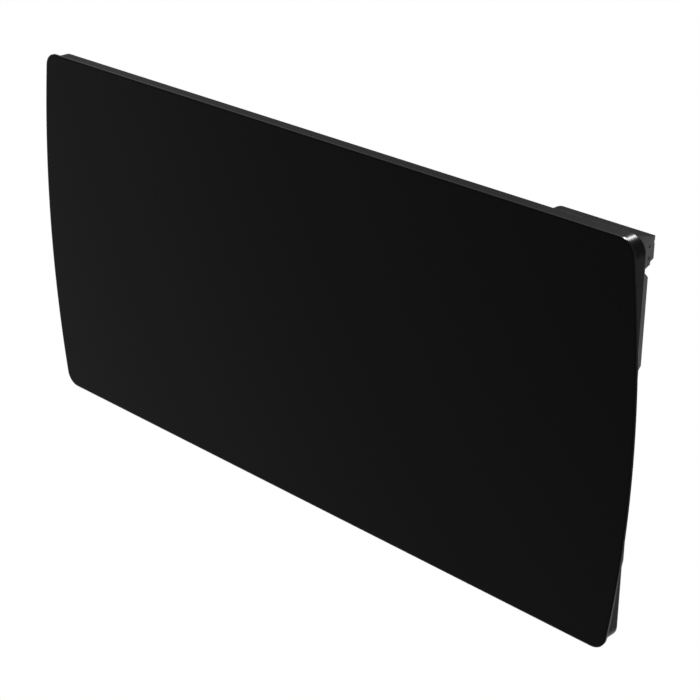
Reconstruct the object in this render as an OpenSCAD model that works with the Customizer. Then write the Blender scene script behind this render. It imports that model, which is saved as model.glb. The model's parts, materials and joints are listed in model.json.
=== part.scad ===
// Wall-hung electric radiator: a bowed black glass plate over ceramic heating slabs, on a folded steel bracket.
// Every module lays its piece on its back: X across, Y up the wall, Z out from the wall. stand() turns it upright,
// so that the finished model has the wall at Y = 0, the glass facing -Y and +Z up.

/* [Glass front] */
// Width of the glass at half height, where its sides bow out most
glass_w = 1000; // [940:10:1300]
// Height of the glass
glass_h = 490; // [480:5:600]
// How far each side of the glass bows out past its corners
side_bow = 19; // [10:1:26]
// Corner radius of the glass
glass_corner_r = 20; // [14:1:24]
// Thickness of the glass
glass_t = 4; // [3:0.5:6]
// Width of the polished bevel round the front face
bevel_w = 2; // [1:0.5:3]
// Depth of that bevel
bevel_d = 0.8; // [0.4:0.2:1.4]
// Thickness of the silicone bond behind the glass
bond_t = 0.8; // [0.5:0.1:1.5]
// Width of the silicone bond
bond_w = 8; // [5:1:10]

/* [Frame] */
// How far the frame sits back from the top and bottom edges of the glass
frame_inset = 3.5; // [2:0.5:6]
// Depth of the frame from front to back
frame_depth = 19.2; // [18:0.2:26]
// Wall thickness of the frame's section
frame_wall = 1.5; // [1.2:0.1:2]
// Width of the front flange that carries the glass
flange_w = 14; // [12:1:16]
// Width of the rear lip that carries the back panel
lip_w = 10; // [8:0.5:12]
// Corner radius of the frame
frame_corner_r = 19; // [17:1:21]

/* [Back panel] */
// Sheet thickness of the back panel
sheet_t = 0.8; // [0.6:0.1:1.2]
// Depth of the upper fold, which clears the hooks
upper_step = 6; // [4:0.5:6]
// Depth of the lower fold
lower_step = 2.2; // [1.6:0.2:3]
// Height of the flat band above the upper fold
top_band = 38.5; // [37:0.5:42]
// Height of the upper fold
upper_fold_h = 106; // [90:1:120]
// Height of the flat band below the lower fold
bottom_band = 96.5; // [94:0.5:110]
// Length of a louvre
louvre_len = 46; // [30:1:52]
// Height of a louvre's mouth and hood
louvre_h = 9; // [7:0.5:10]
// How far a louvre's hood stands off the sheet
louvre_proj = 3.2; // [2.4:0.2:3.6]
// Pitch of the louvres along a row
louvre_pitch = 60; // [56:1:80]

/* [Heating core] */
// Rough pitch of the slab columns, which sets how many there are
slab_pitch = 240; // [210:5:260]
// Free width between the slabs and each side of the frame
core_side_gap = 43.5; // [42:0.5:60]
// Free height between the slabs and the frame's top and bottom
core_end_gap = 39; // [38:0.5:50]
// Thickness of a slab
slab_t = 9; // [8:0.5:10]
// Gap between neighbouring slabs
slab_gap = 5; // [3:0.5:8]
// Grooves for the resistance ribbon in each slab
groove_count = 7; // [5:1:8]
// Width of a groove
groove_w = 4; // [3:0.5:6]
// Depth of a groove
groove_d = 3; // [2:0.5:4]
// Width of a clamp bar
clamp_w = 24; // [18:1:30]
// Sheet thickness of a clamp bar
clamp_t = 1.5; // [1:0.1:2]
// Thickness of the insulation mat
mat_t = 6; // [4:0.5:6.5]

/* [Control box] */
// Length of the control box along the top edge
box_len = 122; // [115:1:150]
// Height of the control box where it meets the back panel
box_h = 34; // [33:0.5:36]
// Depth of the control box behind the flat of the back panel
box_depth = 14; // [13.4:0.2:15]
// How far the top of the control box lies below the top of the frame
box_drop = 0.9; // [0.5:0.1:1.5]
// Depth of its lid
lid_depth = 6.1; // [5.2:0.1:6.4]
// Wall thickness of its mouldings
box_wall = 1.8; // [1.4:0.1:2.2]
// Radius of its inner rear corner
box_corner_r = 6; // [4:0.5:7]
// Radius of its other rear edges
box_edge_r = 1; // [0.8:0.1:2.5]
// How fast its front corner widens behind the frame's round corner, per unit of depth
corner_flare = 0.7; // [0.65:0.05:0.8]

/* [Mains parts] */
// Bore of the cord inlet
inlet_bore_d = 7.5; // [6:0.5:8]
// Distance of the cord inlet from the right side of the frame
inlet_from_side = 86; // [80:1:110]
// Distance of the mains switch from the right side of the frame
switch_from_side = 64; // [61:1:68]
// How far the rocker tips between off and on
rocker_swing = 16; // [10:1:18]

/* [Wall bracket] */
// Distance between the two bracket channels, centre to centre
channel_spacing = 400; // [300:10:560]
// Depth of the channels from the wall
channel_depth = 20; // [16:0.5:26]
// Width of a channel's crown
channel_w = 30; // [24:1:40]
// Width of each wall flange beside the crown
channel_flange = 30; // [26:1:36]
// Sheet thickness of the bracket
bracket_t = 1.5; // [1.2:0.1:2]
// Thickness of the rubber buffers between bracket and back panel
buffer_t = 8; // [7.6:0.2:12]
// How far the upper wall screw slots sit below the top of the channels
slot_drop = 25; // [20:1:60]
// Width of a wall screw slot
slot_w = 7; // [5:0.5:9]
// Length of a wall screw slot, end to end
slot_len = 16; // [12:1:20]
// How far below the upper fold's top edge the hooks carry the panel
hook_drop = 55; // [40:1:70]
// Height of a hook's tongue
hook_tongue = 8; // [6:0.5:10]
// Height of the lock pivots above the frame's bottom edge
lock_rise = 56.5; // [50:0.5:62]
// Diameter of the lock rivets
lock_pin_d = 6; // [5:0.5:7]
// How far a lock lever turns from locked to free
lock_swing = 80; // [45:5:90]

/* [Hidden] */

$fn = 48;
eps = 0.01;

// Levels out from the wall
z_low = channel_depth + buffer_t;
z_sheet = z_low + lower_step;
z_high = z_sheet - upper_step;
z_frame_back = z_sheet + sheet_t;
z_frame_front = z_frame_back + frame_depth;
z_glass_back = z_frame_front + bond_t;
z_front = z_glass_back + glass_t;
z_slab_back = z_glass_back - slab_t;
z_clamp_back = z_slab_back - clamp_t;
reflector_t = 0.5;
z_reflector_back = z_clamp_back - reflector_t;
z_mat_back = z_reflector_back - mat_t;
z_box_rear = z_sheet - box_depth;
z_split = z_box_rear + lid_depth;
z_base_floor = z_sheet - box_wall;

// Frame outline and the folds of the back panel, measured from its edges
frame_w = glass_w - 2 * side_bow;
frame_h = glass_h - 2 * frame_inset;
x_side = frame_w / 2;
y_top = frame_h / 2;
y_fold_top = y_top - top_band;
y_fold_mid = y_fold_top - upper_fold_h;
y_fold_low = -y_top + bottom_band;
low_run = 8;

// Running and seating clearances
fit = 0.05;
seat = 0.3;

// Screws: head radius, head height, shank radius
panel_screw = [3.4, 2, 1.6];
clamp_screw = [3.2, 2, 1.5];
box_screw = [1.8, 0.9, 1];

// Core layout
slab_cols = round(frame_w / slab_pitch);
slab_rows = 2;
core_w = frame_w - 2 * core_side_gap;
core_h = frame_h - 2 * core_end_gap;
slab_w = (core_w - (slab_cols - 1) * slab_gap) / slab_cols;
slab_h = (core_h - (slab_rows - 1) * slab_gap) / slab_rows;
clamp_foot_in = y_top - flange_w + 1;
clamp_foot_out = y_top - frame_wall - 1.5;
clamp_screw_y = (clamp_foot_in + clamp_foot_out) / 2;
clamp_xs = [for (i = [0 : slab_cols]) (i - slab_cols / 2) * (slab_w + slab_gap)];
cutout_x = (slab_w + slab_gap) * (slab_cols % 2 == 0 ? 0.5 : 1);
cutout_xs = [-cutout_x, cutout_x];
cutout_y = slab_h * 0.75;
cutout_r = 8.5;
cutout_window = [44, 32];

// Control box outline
x_box = x_side - box_len;
y_box = y_top - box_h;
y_box_top = y_top - box_drop;
y_split_base = y_box + 2.7;
y_split_lid = y_box + 5.8;
y_lid_rear = y_split_lid + lid_depth * 0.42;
board_margin = 1.5;
board_t = 1.6;
post_h = 1.6;
z_board_back = z_base_floor - post_h;
z_board_front = z_board_back - board_t;
board_x = [x_box + 17, x_side - 11];
board_y = [y_split_lid + 1.5, y_box_top - box_wall - board_margin];
side_screw_ys = [y_top - 10.5, y_top - 23.5];
side_screw_z = z_sheet - 4.9;
lid_screw_len = lid_depth + 2.8;
relay = [20, 12, 4.4];
capacitor_r = 4;
small_capacitor_r = 3;
plug_side = 8;
led_pitch = 5;
lid_screw_x = x_box + 11.5;
lid_screw_ys = [y_top - 7, y_top - 20];
base_screws = [[x_box + 11.5, y_top - 13.5], [x_side - 6.4, y_top - 17]];

// Mains parts in the ring between core and frame
x_inlet = x_side - inlet_from_side;
y_inlet = -y_top + 24.5;
inlet_thread_r = 6;
inlet_inside = 7;
inlet_outside = 13;
x_switch = x_side - switch_from_side;
z_switch = (z_frame_back + z_frame_front) / 2;
switch_w = 18.4;
switch_t = 12.4;
switch_in = 16.5;
bezel_t = 1.5;
rocker_pivot = 3;
rocker_half = 7.2;
rocker_pin_r = 1.2;
terminal_size = [36, 18, 14];
x_terminal = x_inlet - 42;
y_terminal = -y_top + lip_w + 0.5 + terminal_size[1] / 2;
touch_size = [19, 100, 1.6];
touch_drop = 42;
touch_pitch = 22;
wire_r = 2.2;
wire_bend = 4.5;
x_wire = x_side - 26;
z_wire = z_clamp_back - wire_r - seat;
y_wire_top = y_top - 20.5;
y_wire_low = y_terminal + terminal_size[1] / 2 + wire_bend + 0.5;

// Bracket layout
x_channel = channel_spacing / 2;
y_hook = y_fold_top - hook_drop;
y_lock = -y_top + lock_rise;
y_channel_top = y_hook + 17;
y_channel_low = y_lock - 20;
screw_rows = 2 * (y_channel_top - slot_drop);
x_slot = x_channel + channel_w / 2 + channel_flange / 2;
x_flange_in = x_channel - channel_w / 2 - channel_flange;
rail_h = 30;
rail_flange = 8;
rail_t = 1.2;
rail_ys = [y_hook - 33, y_lock + 32];
rail_end = x_channel - channel_w / 2 - 3;
rivet_r = 2;
rivet_dx = 15;
rivet_dy = 8;
hook_clear = 0.2;
hook_tip = 6;
hook_tip_t = 3.2;
window_w = channel_w + 6;
window_h = hook_tongue + hook_tip + 3;
lever_t = 2;
lever_hub_r = 9;
lever_reach = 38;
nose_low = 6.5;
z_lever = channel_depth + seat;
lever_lip = 3.5;
keeper_x = [x_channel + 22, x_channel + 46];
keeper_t = 1.5;
y_keeper = y_lock - nose_low - seat;
keeper_drop = 21.5;
keeper_rivet_ys = [y_keeper - 9, y_keeper - 16];
buffer_r = 9;
y_buffer = (y_fold_mid + y_fold_low) / 2;

// Glass outline: side arcs of one large radius, blended into the corners
bow_r = (glass_h * glass_h / 4 + side_bow * side_bow) / (2 * side_bow);
bow_cx = glass_w / 2 - bow_r;
corner_cy = glass_h / 2 - glass_corner_r;
corner_cx = bow_cx + sqrt(pow(bow_r - glass_corner_r, 2) - corner_cy * corner_cy);
blend_a = atan2(corner_cy, corner_cx - bow_cx);
side_steps = 10;
corner_steps = 8;

// Turns a piece that was laid out on its back upright, against the wall
module stand() {
    rotate([90, 0, 0]) children();
}

// Extrudes a section drawn in (y, z) along X, centred
module along_x(len) {
    rotate([90, 0, 90]) linear_extrude(len, center = true) children();
}

// Extrudes an outline drawn in (x, z) along Y, from y0 to y1
module along_y(y0, y1) {
    translate([0, y1, 0]) rotate([90, 0, 0]) linear_extrude(y1 - y0) children();
}

// A piece and its mirror image on the other side
module both_sides() {
    children();
    mirror([1, 0, 0]) children();
}

// Block between two corners
module block(low, high) {
    translate(low) cube(high - low);
}

// Rectangle with true round corners, centred
module round_rect(w, h, r) {
    square([w - 2 * r, h], center = true);
    square([w, h - 2 * r], center = true);
    for (sx = [-1, 1], sy = [-1, 1]) {
        translate([sx * (w / 2 - r), sy * (h / 2 - r)]) circle(r);
    }
}

// Rectangle standing on the X axis whose two upper corners are round
module round_top(w, d, r) {
    translate([-w / 2, 0]) square([w, d - r]);
    translate([-w / 2 + r, 0]) square([w - 2 * r, d]);
    for (s = [-1, 1]) {
        translate([s * (w / 2 - r), d - r]) circle(r);
    }
}

// Slot with round ends along X, cut through z0 to z1
module slot_x(len, w, z0, z1) {
    translate([0, 0, z0]) linear_extrude(z1 - z0) {
        square([len - w, w], center = true);
        for (s = [-1, 1]) {
            translate([s * (len - w) / 2, 0]) circle(w / 2);
        }
    }
}

// Cylinder between two heights
module post(r, z0, z1) {
    translate([0, 0, z0]) cylinder(r = r, h = z1 - z0);
}

// Pan-head screw: the head's seat is at z = 0, the head on the wall side, the shank into the room
module screw(size, len) {
    post(size[2], -eps, len);
    post(size[0], -size[1] * 0.6, 0);
    translate([0, 0, -size[1]]) cylinder(r1 = size[0] * 0.72, r2 = size[0], h = size[1] * 0.4 + eps);
}

// One quarter of the glass outline, set in by an amount, from the middle of the side to the top edge
function glass_quarter(inset) = concat(
    [for (i = [0 : side_steps]) let (a = blend_a * i / side_steps)
        [bow_cx + (bow_r - inset) * cos(a), (bow_r - inset) * sin(a)]],
    [for (i = [1 : corner_steps]) let (a = blend_a + (90 - blend_a) * i / corner_steps)
        [corner_cx + (glass_corner_r - inset) * cos(a), corner_cy + (glass_corner_r - inset) * sin(a)]]);

// The whole outline, counter-clockwise, at one height
function glass_ring(inset, z) = let (q = glass_quarter(inset), n = len(q) - 1) concat(
    [for (i = [0 : n]) [q[i][0], q[i][1], z]],
    [for (i = [n : -1 : 0]) [-q[i][0], q[i][1], z]],
    [for (i = [1 : n]) [-q[i][0], -q[i][1], z]],
    [for (i = [n : -1 : 1]) [q[i][0], -q[i][1], z]]);

module glass_front() {
    arris = 0.4;
    rings = [glass_ring(arris, z_glass_back), glass_ring(0, z_glass_back + arris),
        glass_ring(0, z_front - bevel_d), glass_ring(bevel_w, z_front)];
    n = len(rings[0]);
    points = [for (r = rings) each r];
    sides = [for (k = [0 : len(rings) - 2], i = [0 : n - 1])
        [k * n + i, (k + 1) * n + i, (k + 1) * n + (i + 1) % n, k * n + (i + 1) % n]];
    back = [for (i = [0 : n - 1]) i];
    front = [for (i = [n - 1 : -1 : 0]) (len(rings) - 1) * n + i];
    color([0.06, 0.06, 0.065]) stand() polyhedron(points, concat([back, front], sides), convexity = 4);
}

module glass_bond() {
    edge = 2.5;
    color([0.16, 0.16, 0.16]) stand() translate([0, 0, z_frame_front]) linear_extrude(bond_t) difference() {
        round_rect(frame_w - 2 * edge, frame_h - 2 * edge, frame_corner_r - edge);
        round_rect(frame_w - 2 * (edge + bond_w), frame_h - 2 * (edge + bond_w), frame_corner_r - edge - bond_w);
    }
}

// Section of the frame's bent profile: distance in from the outer face, height above the wall
function frame_section() = let (c = 0.6) [
    [c, z_frame_front], [flange_w, z_frame_front], [flange_w, z_frame_front - frame_wall],
    [frame_wall, z_frame_front - frame_wall], [frame_wall, z_frame_back + frame_wall],
    [lip_w, z_frame_back + frame_wall], [lip_w, z_frame_back], [c / 2, z_frame_back],
    [0, z_frame_back + c / 2], [0, z_frame_front - c]];

// The profile swept round the frame: four straight runs and four round corners
module frame_ring() {
    r = frame_corner_r;
    for (s = [-1, 1]) {
        along_y(-y_top + r, y_top - r) polygon([for (p = frame_section()) [s * (x_side - p[0]), p[1]]]);
        along_x(frame_w - 2 * r) polygon([for (p = frame_section()) [s * (y_top - p[0]), p[1]]]);
    }
    for (k = [0 : 3]) {
        sx = (k == 0 || k == 3) ? 1 : -1;
        sy = k < 2 ? 1 : -1;
        translate([sx * (x_side - r), sy * (y_top - r), 0]) rotate([0, 0, 90 * k])
            rotate_extrude(angle = 90) polygon([for (p = frame_section()) [r - p[0], p[1]]]);
    }
}

// Places the back panel's screws: a row along the top and bottom lips, and one low on each side
module at_panel_screws() {
    pitch = frame_w * 0.205;
    edge = lip_w / 2;
    for (i = [-2 : 2]) {
        translate([i * pitch, -y_top + edge, 0]) children();
        if (i < 2) {
            translate([i * pitch, y_top - edge, 0]) children();
        }
    }
    for (s = [-1, 1]) {
        translate([s * (x_side - edge), y_fold_low - 25, 0]) children();
    }
}

module at_base_screws() {
    for (p = base_screws) {
        translate([p[0], p[1], 0]) children();
    }
}

module at_clamp_screws() {
    for (x = clamp_xs, s = [-1, 1]) {
        translate([x, s * clamp_screw_y, 0]) children();
    }
}

// The profile is bent from one strip: its ends meet beside the middle of the bottom
x_joint = frame_w * 0.1065;

module frame() {
    kerf = 0.4;
    color([0.1, 0.1, 0.11]) stand() difference() {
        frame_ring();
        at_panel_screws() post(panel_screw[2] + fit, z_frame_back - eps, z_frame_back + frame_wall + eps);
        at_base_screws() post(panel_screw[2] + fit, z_frame_back - eps, z_frame_back + frame_wall + eps);
        at_clamp_screws() post(clamp_screw[2] + fit, z_frame_front - frame_wall - eps, z_frame_front + eps);
        block([x_switch - switch_w / 2 - 0.1, -y_top - 1, z_switch - switch_t / 2 - 0.1],
            [x_switch + switch_w / 2 + 0.1, -y_top + frame_wall + 1, z_switch + switch_t / 2 + 0.1]);
        translate([x_joint, 0, 0])
            block([-kerf / 2, -y_top - 1, z_frame_back - 1], [kerf / 2, -y_top + flange_w + 1, z_frame_front + 1]);
    }
}

module frame_joiner() {
    color([0.6, 0.6, 0.62]) stand() translate([x_joint, 0, 0])
        block([-40, -y_top + frame_wall, z_frame_back + 6.5], [40, -y_top + 2 * frame_wall, z_frame_front - frame_wall]);
}

// Centres of the slabs
module at_slabs() {
    for (i = [0 : slab_cols - 1], j = [0 : slab_rows - 1]) {
        translate([-core_w / 2 + slab_w / 2 + i * (slab_w + slab_gap), -core_h / 2 + slab_h / 2 + j * (slab_h + slab_gap)])
            children();
    }
}

// A serpentine of bars of one width, as the groove and its ribbon run
module serpentine(w) {
    run = slab_w - 30;
    pitch = (slab_h - 40) / (groove_count - 1);
    for (k = [0 : groove_count - 1]) {
        translate([0, (k - (groove_count - 1) / 2) * pitch]) square([run + w, w], center = true);
    }
    for (k = [0 : groove_count - 2]) {
        side = k % 2 == 0 ? 1 : -1;
        translate([side * run / 2, (k - (groove_count - 2) / 2) * pitch]) square([w, pitch + w], center = true);
    }
}

module ceramic_slabs() {
    color([0.82, 0.78, 0.7]) stand() at_slabs() translate([0, 0, z_slab_back]) difference() {
        linear_extrude(slab_t) round_rect(slab_w, slab_h, 4);
        translate([0, 0, -eps]) linear_extrude(groove_d + eps) serpentine(groove_w);
    }
}

module heating_ribbons() {
    ribbon_t = groove_d * 0.6;
    color([0.62, 0.58, 0.52]) stand() at_slabs() translate([0, 0, z_slab_back + groove_d - ribbon_t])
        linear_extrude(ribbon_t) serpentine(groove_w - 2 * seat);
}

// Folded strip: flat over the slabs, joggled at both ends onto the frame's front flange
module clamp_bar() {
    flat = core_h / 2 + 1;
    z0 = z_clamp_back;
    z1 = z_frame_front - frame_wall - clamp_t;
    half = [[0, z0], [flat, z0], [clamp_foot_in - 2, z1], [clamp_foot_out, z1],
        [clamp_foot_out, z1 + clamp_t], [clamp_foot_in - 2 - 1, z1 + clamp_t], [flat - 1, z0 + clamp_t], [0, z0 + clamp_t]];
    for (s = [-1, 1]) {
        along_x(clamp_w) polygon([for (p = half) [s * p[0], p[1]]]);
    }
}

module clamp_bars() {
    color([0.66, 0.67, 0.68]) stand() difference() {
        for (x = clamp_xs) {
            translate([x, 0, 0]) clamp_bar();
        }
        at_clamp_screws() post(clamp_screw[2] + fit, z_frame_front - frame_wall - clamp_t - 1, z_frame_front);
    }
}

module clamp_screws() {
    color([0.75, 0.75, 0.76]) stand() at_clamp_screws()
        translate([0, 0, z_frame_front - frame_wall - clamp_t]) screw(clamp_screw, frame_wall + clamp_t);
}

module reflector_sheet() {
    color([0.85, 0.86, 0.87]) stand() difference() {
        translate([0, 0, z_reflector_back]) linear_extrude(reflector_t) round_rect(core_w + 15, core_h + 1, 6);
        for (x = cutout_xs) {
            translate([x, cutout_y, 0]) post(cutout_r + seat, z_reflector_back - eps, z_clamp_back + eps);
        }
    }
}

module insulation_mat() {
    color([0.86, 0.8, 0.62]) stand() difference() {
        translate([0, 0, z_mat_back]) linear_extrude(mat_t) round_rect(core_w + 5, core_h - 5, 10);
        for (x = cutout_xs) {
            translate([x, cutout_y, z_mat_back - eps]) linear_extrude(mat_t + 2 * eps) square(cutout_window, center = true);
        }
    }
}

// Outer line of the folded back sheet, top to bottom: height on the wall, distance from the wall
function panel_line() = [
    [y_top, z_sheet], [y_fold_top, z_sheet], [y_fold_top - upper_step, z_high], [y_fold_mid, z_high],
    [y_fold_mid - (z_low - z_high), z_low], [y_fold_low + low_run, z_low], [y_fold_low, z_sheet], [-y_top, z_sheet]];

// How far each point of the inner line moves along the sheet, so that the folds keep their thickness
function fold_shift() = let (steep = sheet_t * tan(22.5), shallow = sheet_t * tan(atan(lower_step / low_run) / 2))
    [0, -steep, -steep, steep, steep, shallow, shallow, 0];

module panel_sheet() {
    outer = panel_line();
    n = len(outer);
    inner = [for (i = [n - 1 : -1 : 0]) [outer[i][0] + fold_shift()[i], outer[i][1] + sheet_t]];
    along_x(frame_w) polygon(concat(outer, inner));
    for (s = [-1, 1]) {
        translate([s * (x_side - sheet_t / 2), 0, 0]) along_x(sheet_t)
            polygon(concat(outer, [[-y_top, z_frame_back], [y_top, z_frame_back]]));
    }
}

// Curved louvre hood, hinged to the sheet at y = 0 and open at y = -louvre_h
hood_r = (louvre_h * louvre_h + louvre_proj * louvre_proj) / (2 * louvre_proj);

module hood_form(r, len, z0) {
    intersection() {
        translate([0, -louvre_h, z_sheet - louvre_proj + hood_r]) rotate([0, 90, 0]) cylinder(r = r, h = len, center = true);
        block([-len / 2, -louvre_h, z0], [len / 2, 0, z_sheet]);
    }
}

module louvre_hood() {
    difference() {
        hood_form(hood_r, louvre_len, z_sheet - louvre_proj);
        translate([0, -eps, eps]) hood_form(hood_r - sheet_t, louvre_len - 2 * sheet_t, z_sheet - louvre_proj);
    }
}

module louvre_mouth() {
    rise = sqrt(pow(hood_r - sheet_t, 2) - pow(hood_r - louvre_proj, 2));
    half = louvre_len / 2 - sheet_t;
    block([-half, -louvre_h, z_sheet - eps], [half, -louvre_h + rise, z_frame_back + eps]);
}

// Intake rows low on the panel, with a free place at each keeper, and an outlet row along the top
module at_louvres() {
    columns = floor((frame_w / 2 - 30 - louvre_len / 2) / louvre_pitch);
    for (row = [0, 1], i = [-columns : columns]) {
        x = i * louvre_pitch;
        near_keeper = abs(x) + louvre_len / 2 > keeper_x[0] - 2 && abs(x) - louvre_len / 2 < keeper_x[1] + 2;
        if (!near_keeper) {
            translate([x, y_fold_low - 15 - row * 24, 0]) children();
        }
    }
    for (i = [-columns : columns]) {
        if (i * louvre_pitch + louvre_len / 2 < x_box - 8) {
            translate([i * louvre_pitch, y_top - lip_w - louvre_h - 8, 0]) mirror([0, 1, 0]) children();
        }
    }
}

module at_keeper_rivets() {
    for (s = [-1, 1], x = [keeper_x[0] + 6, keeper_x[1] - 6]) {
        translate([s * x, keeper_rivet_ys[0], 0]) children();
    }
}

module wire_slot(z0, z1) {
    translate([x_wire - 4, y_wire_top, 0]) slot_x(20, 9, z0, z1);
}

module back_panel() {
    color([0.3, 0.3, 0.31]) stand() difference() {
        union() {
            intersection() {
                panel_sheet();
                linear_extrude(z_frame_back) round_rect(frame_w, frame_h, frame_corner_r);
            }
            at_louvres() louvre_hood();
        }
        at_louvres() louvre_mouth();
        at_panel_screws() post(panel_screw[2] + fit, z_sheet - eps, z_frame_back + eps);
        at_base_screws() post(panel_screw[2] + fit, z_sheet - eps, z_frame_back + eps);
        for (s = [-1, 1]) {
            block([s * x_channel - window_w / 2, y_hook - window_h, z_high - 1],
                [s * x_channel + window_w / 2, y_hook, z_high + sheet_t + 1]);
        }
        at_keeper_rivets() post(1.6 + fit, z_sheet - 1, z_frame_back + 1);
        wire_slot(z_sheet - 1, z_frame_back + 1);
        translate([x_inlet, y_inlet, 0]) post(inlet_thread_r + 0.1, z_sheet - 1, z_frame_back + 1);
    }
}

module panel_screws() {
    color([0.2, 0.2, 0.21]) stand() {
        at_panel_screws() translate([0, 0, z_sheet]) screw(panel_screw, 5.5);
        at_base_screws() translate([0, 0, z_base_floor]) screw(panel_screw, 5.5);
    }
}

// Outline of the control box from above: square at the panel, round at the two rear corners
module box_plan(inset) {
    x0 = x_box + inset;
    x1 = x_side - inset;
    z0 = z_box_rear + inset;
    rl = box_corner_r - inset * 0.6;
    rr = max(box_edge_r - inset, 0.4);
    translate([x0, z0 + rl]) square([x1 - x0, z_sheet + 5 - z0 - rl]);
    translate([x0 + rl, z0]) square([x1 - rr - x0 - rl, rl + 1]);
    translate([x1 - rr - 1, z0 + rr]) square([rr + 1, rl]);
    translate([x0 + rl, z0 + rl]) circle(rl);
    translate([x1 - rr, z0 + rr]) circle(rr);
}

// Side profile of the base: its underside slants back
module base_profile() {
    polygon([[y_box_top, z_sheet + 1], [y_box, z_sheet + 1], [y_box, z_sheet], [y_split_base, z_split],
        [y_split_base, z_split - 1], [y_box_top, z_split - 1]]);
}

// Room inside the base: its rim turns in below, as a ledge that the lid's lower edge stands on
module base_room() {
    z_ledge = z_split + box_wall;
    y_slant = y_box + (y_split_base - y_box) * (z_sheet - z_ledge) / (z_sheet - z_split) + box_wall;
    y_ledge = y_split_lid + 1;
    polygon([[y_box_top - box_wall, z_sheet + 1], [y_box + box_wall, z_sheet + 1], [y_box + box_wall, z_sheet],
        [y_slant, z_ledge], [y_ledge, z_ledge], [y_ledge, z_split - 1], [y_box_top - box_wall, z_split - 1]]);
}

// Side profile of the lid: set back from the base below, slanted, and round along its top rear edge
module lid_profile(inset) {
    r = max(box_edge_r - inset, 0.4);
    difference() {
        polygon([[y_box_top - inset, z_split + 1], [y_split_lid + inset, z_split + 1],
            [y_split_lid + inset, z_split], [y_lid_rear + inset, z_box_rear + inset],
            [y_box_top - inset, z_box_rear + inset]]);
        difference() {
            translate([y_box_top - inset - r, z_box_rear + inset - 1]) square([r + 1, r + 1]);
            translate([y_box_top - inset - r, z_box_rear + inset + r]) circle(r);
        }
    }
}

// What the box's front corner leaves out: it starts as round as the frame's and flares to the rear
module corner_cut(inset) {
    r = frame_corner_r + 0.15 - inset;
    reach = box_depth + 1;
    translate([x_side - frame_corner_r, y_top - frame_corner_r, z_sheet - reach]) difference() {
        cube([frame_corner_r + 1, frame_corner_r + 1, reach + 1]);
        translate([0, 0, -1])
            cylinder(h = reach + 3, r1 = r + (reach + 1) * corner_flare, r2 = r - 2 * corner_flare);
    }
}

// Volume of the box between two heights, with a given side profile
module box_form(inset, z0, z1) {
    difference() {
        intersection() {
            along_y(y_box - 1, y_top + 1) box_plan(inset);
            translate([(x_box + x_side) / 2, 0, 0]) along_x(box_len + 2) children();
            block([x_box - 1, y_box - 1, z0], [x_side + 1, y_top + 1, z1]);
        }
        corner_cut(inset);
    }
}

module at_board_posts() {
    for (x = [board_x[0] + 4, board_x[1] - 4], y = [board_y[0] + 3, board_y[1] - 3]) {
        translate([x, y, 0]) children();
    }
}

// Turns a screw or hole to point in from the right side of the box
module at_side_screws() {
    for (y = side_screw_ys) {
        translate([x_side - 1.1, y, side_screw_z]) rotate([0, -90, 0]) children();
    }
}

module at_lid_screws() {
    for (y = lid_screw_ys) {
        translate([lid_screw_x, y, z_box_rear + 1]) children();
    }
}

module control_base() {
    color([0.27, 0.27, 0.28]) stand() difference() {
        union() {
            difference() {
                box_form(0, z_split, z_sheet) base_profile();
                box_form(box_wall, z_split - 1, z_base_floor) base_room();
            }
            at_board_posts() post(2.2, z_board_back, z_base_floor + eps);
            for (y = lid_screw_ys) {
                translate([lid_screw_x, y, 0]) post(2.8, z_split, z_base_floor + eps);
            }
        }
        at_side_screws() {
            post(box_screw[0] + 0.15, -3, 0);
            post(box_screw[2] + 0.1, -eps, 4);
        }
        at_lid_screws() post(box_screw[2] + fit, 0, lid_screw_len + 0.5);
        at_base_screws() post(panel_screw[2] + fit, z_base_floor - 1, z_sheet + 1);
        wire_slot(z_base_floor - 1, z_sheet + 1);
    }
}

module control_lid() {
    rib = [x_box + 25, x_side - 17];
    tab_x = x_side - box_wall - 0.15;
    color([0.27, 0.27, 0.28]) stand() difference() {
        union() {
            difference() {
                box_form(0, z_box_rear, z_split) lid_profile(0);
                box_form(box_wall, z_box_rear + box_wall, z_split + 1) lid_profile(box_wall);
            }
            block([rib[0], y_box_top - box_wall - 1.15, z_box_rear + box_wall - eps],
                [rib[1], y_box_top - box_wall - 0.15, z_split + 1]);
            for (y = side_screw_ys) {
                difference() {
                    block([tab_x - 4.5, y - 2.8, z_box_rear + box_wall - eps], [tab_x, y + 2.8, z_base_floor - seat]);
                    corner_cut(box_wall + 0.15);
                }
            }
            for (y = lid_screw_ys) {
                translate([lid_screw_x, y, 0]) post(2.8, z_box_rear + box_wall - eps, z_split - fit);
            }
        }
        at_side_screws() post(box_screw[2] + fit, -eps, 7);
        at_lid_screws() {
            post(box_screw[0] + 0.2, -2, 0);
            post(box_screw[2] + 0.1, -eps, lid_depth + 0.3);
        }
        block([x_side - 1, y_top - 9.5, z_box_rear - 1], [x_side + 1, y_top - 6, z_box_rear + 1.5]);
    }
}

module lid_screws() {
    color([0.15, 0.15, 0.15]) stand() at_lid_screws() screw(box_screw, lid_screw_len);
}

module side_screws() {
    color([0.08, 0.08, 0.08]) stand() at_side_screws() screw(box_screw, 6);
}

module control_board() {
    color([0.1, 0.32, 0.2]) stand() difference() {
        block([board_x[0], board_y[0], z_board_front], [board_x[1], board_y[1], z_board_back]);
        at_board_posts() post(0.9, z_board_front - 1, z_board_back + 1);
    }
}

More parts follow.
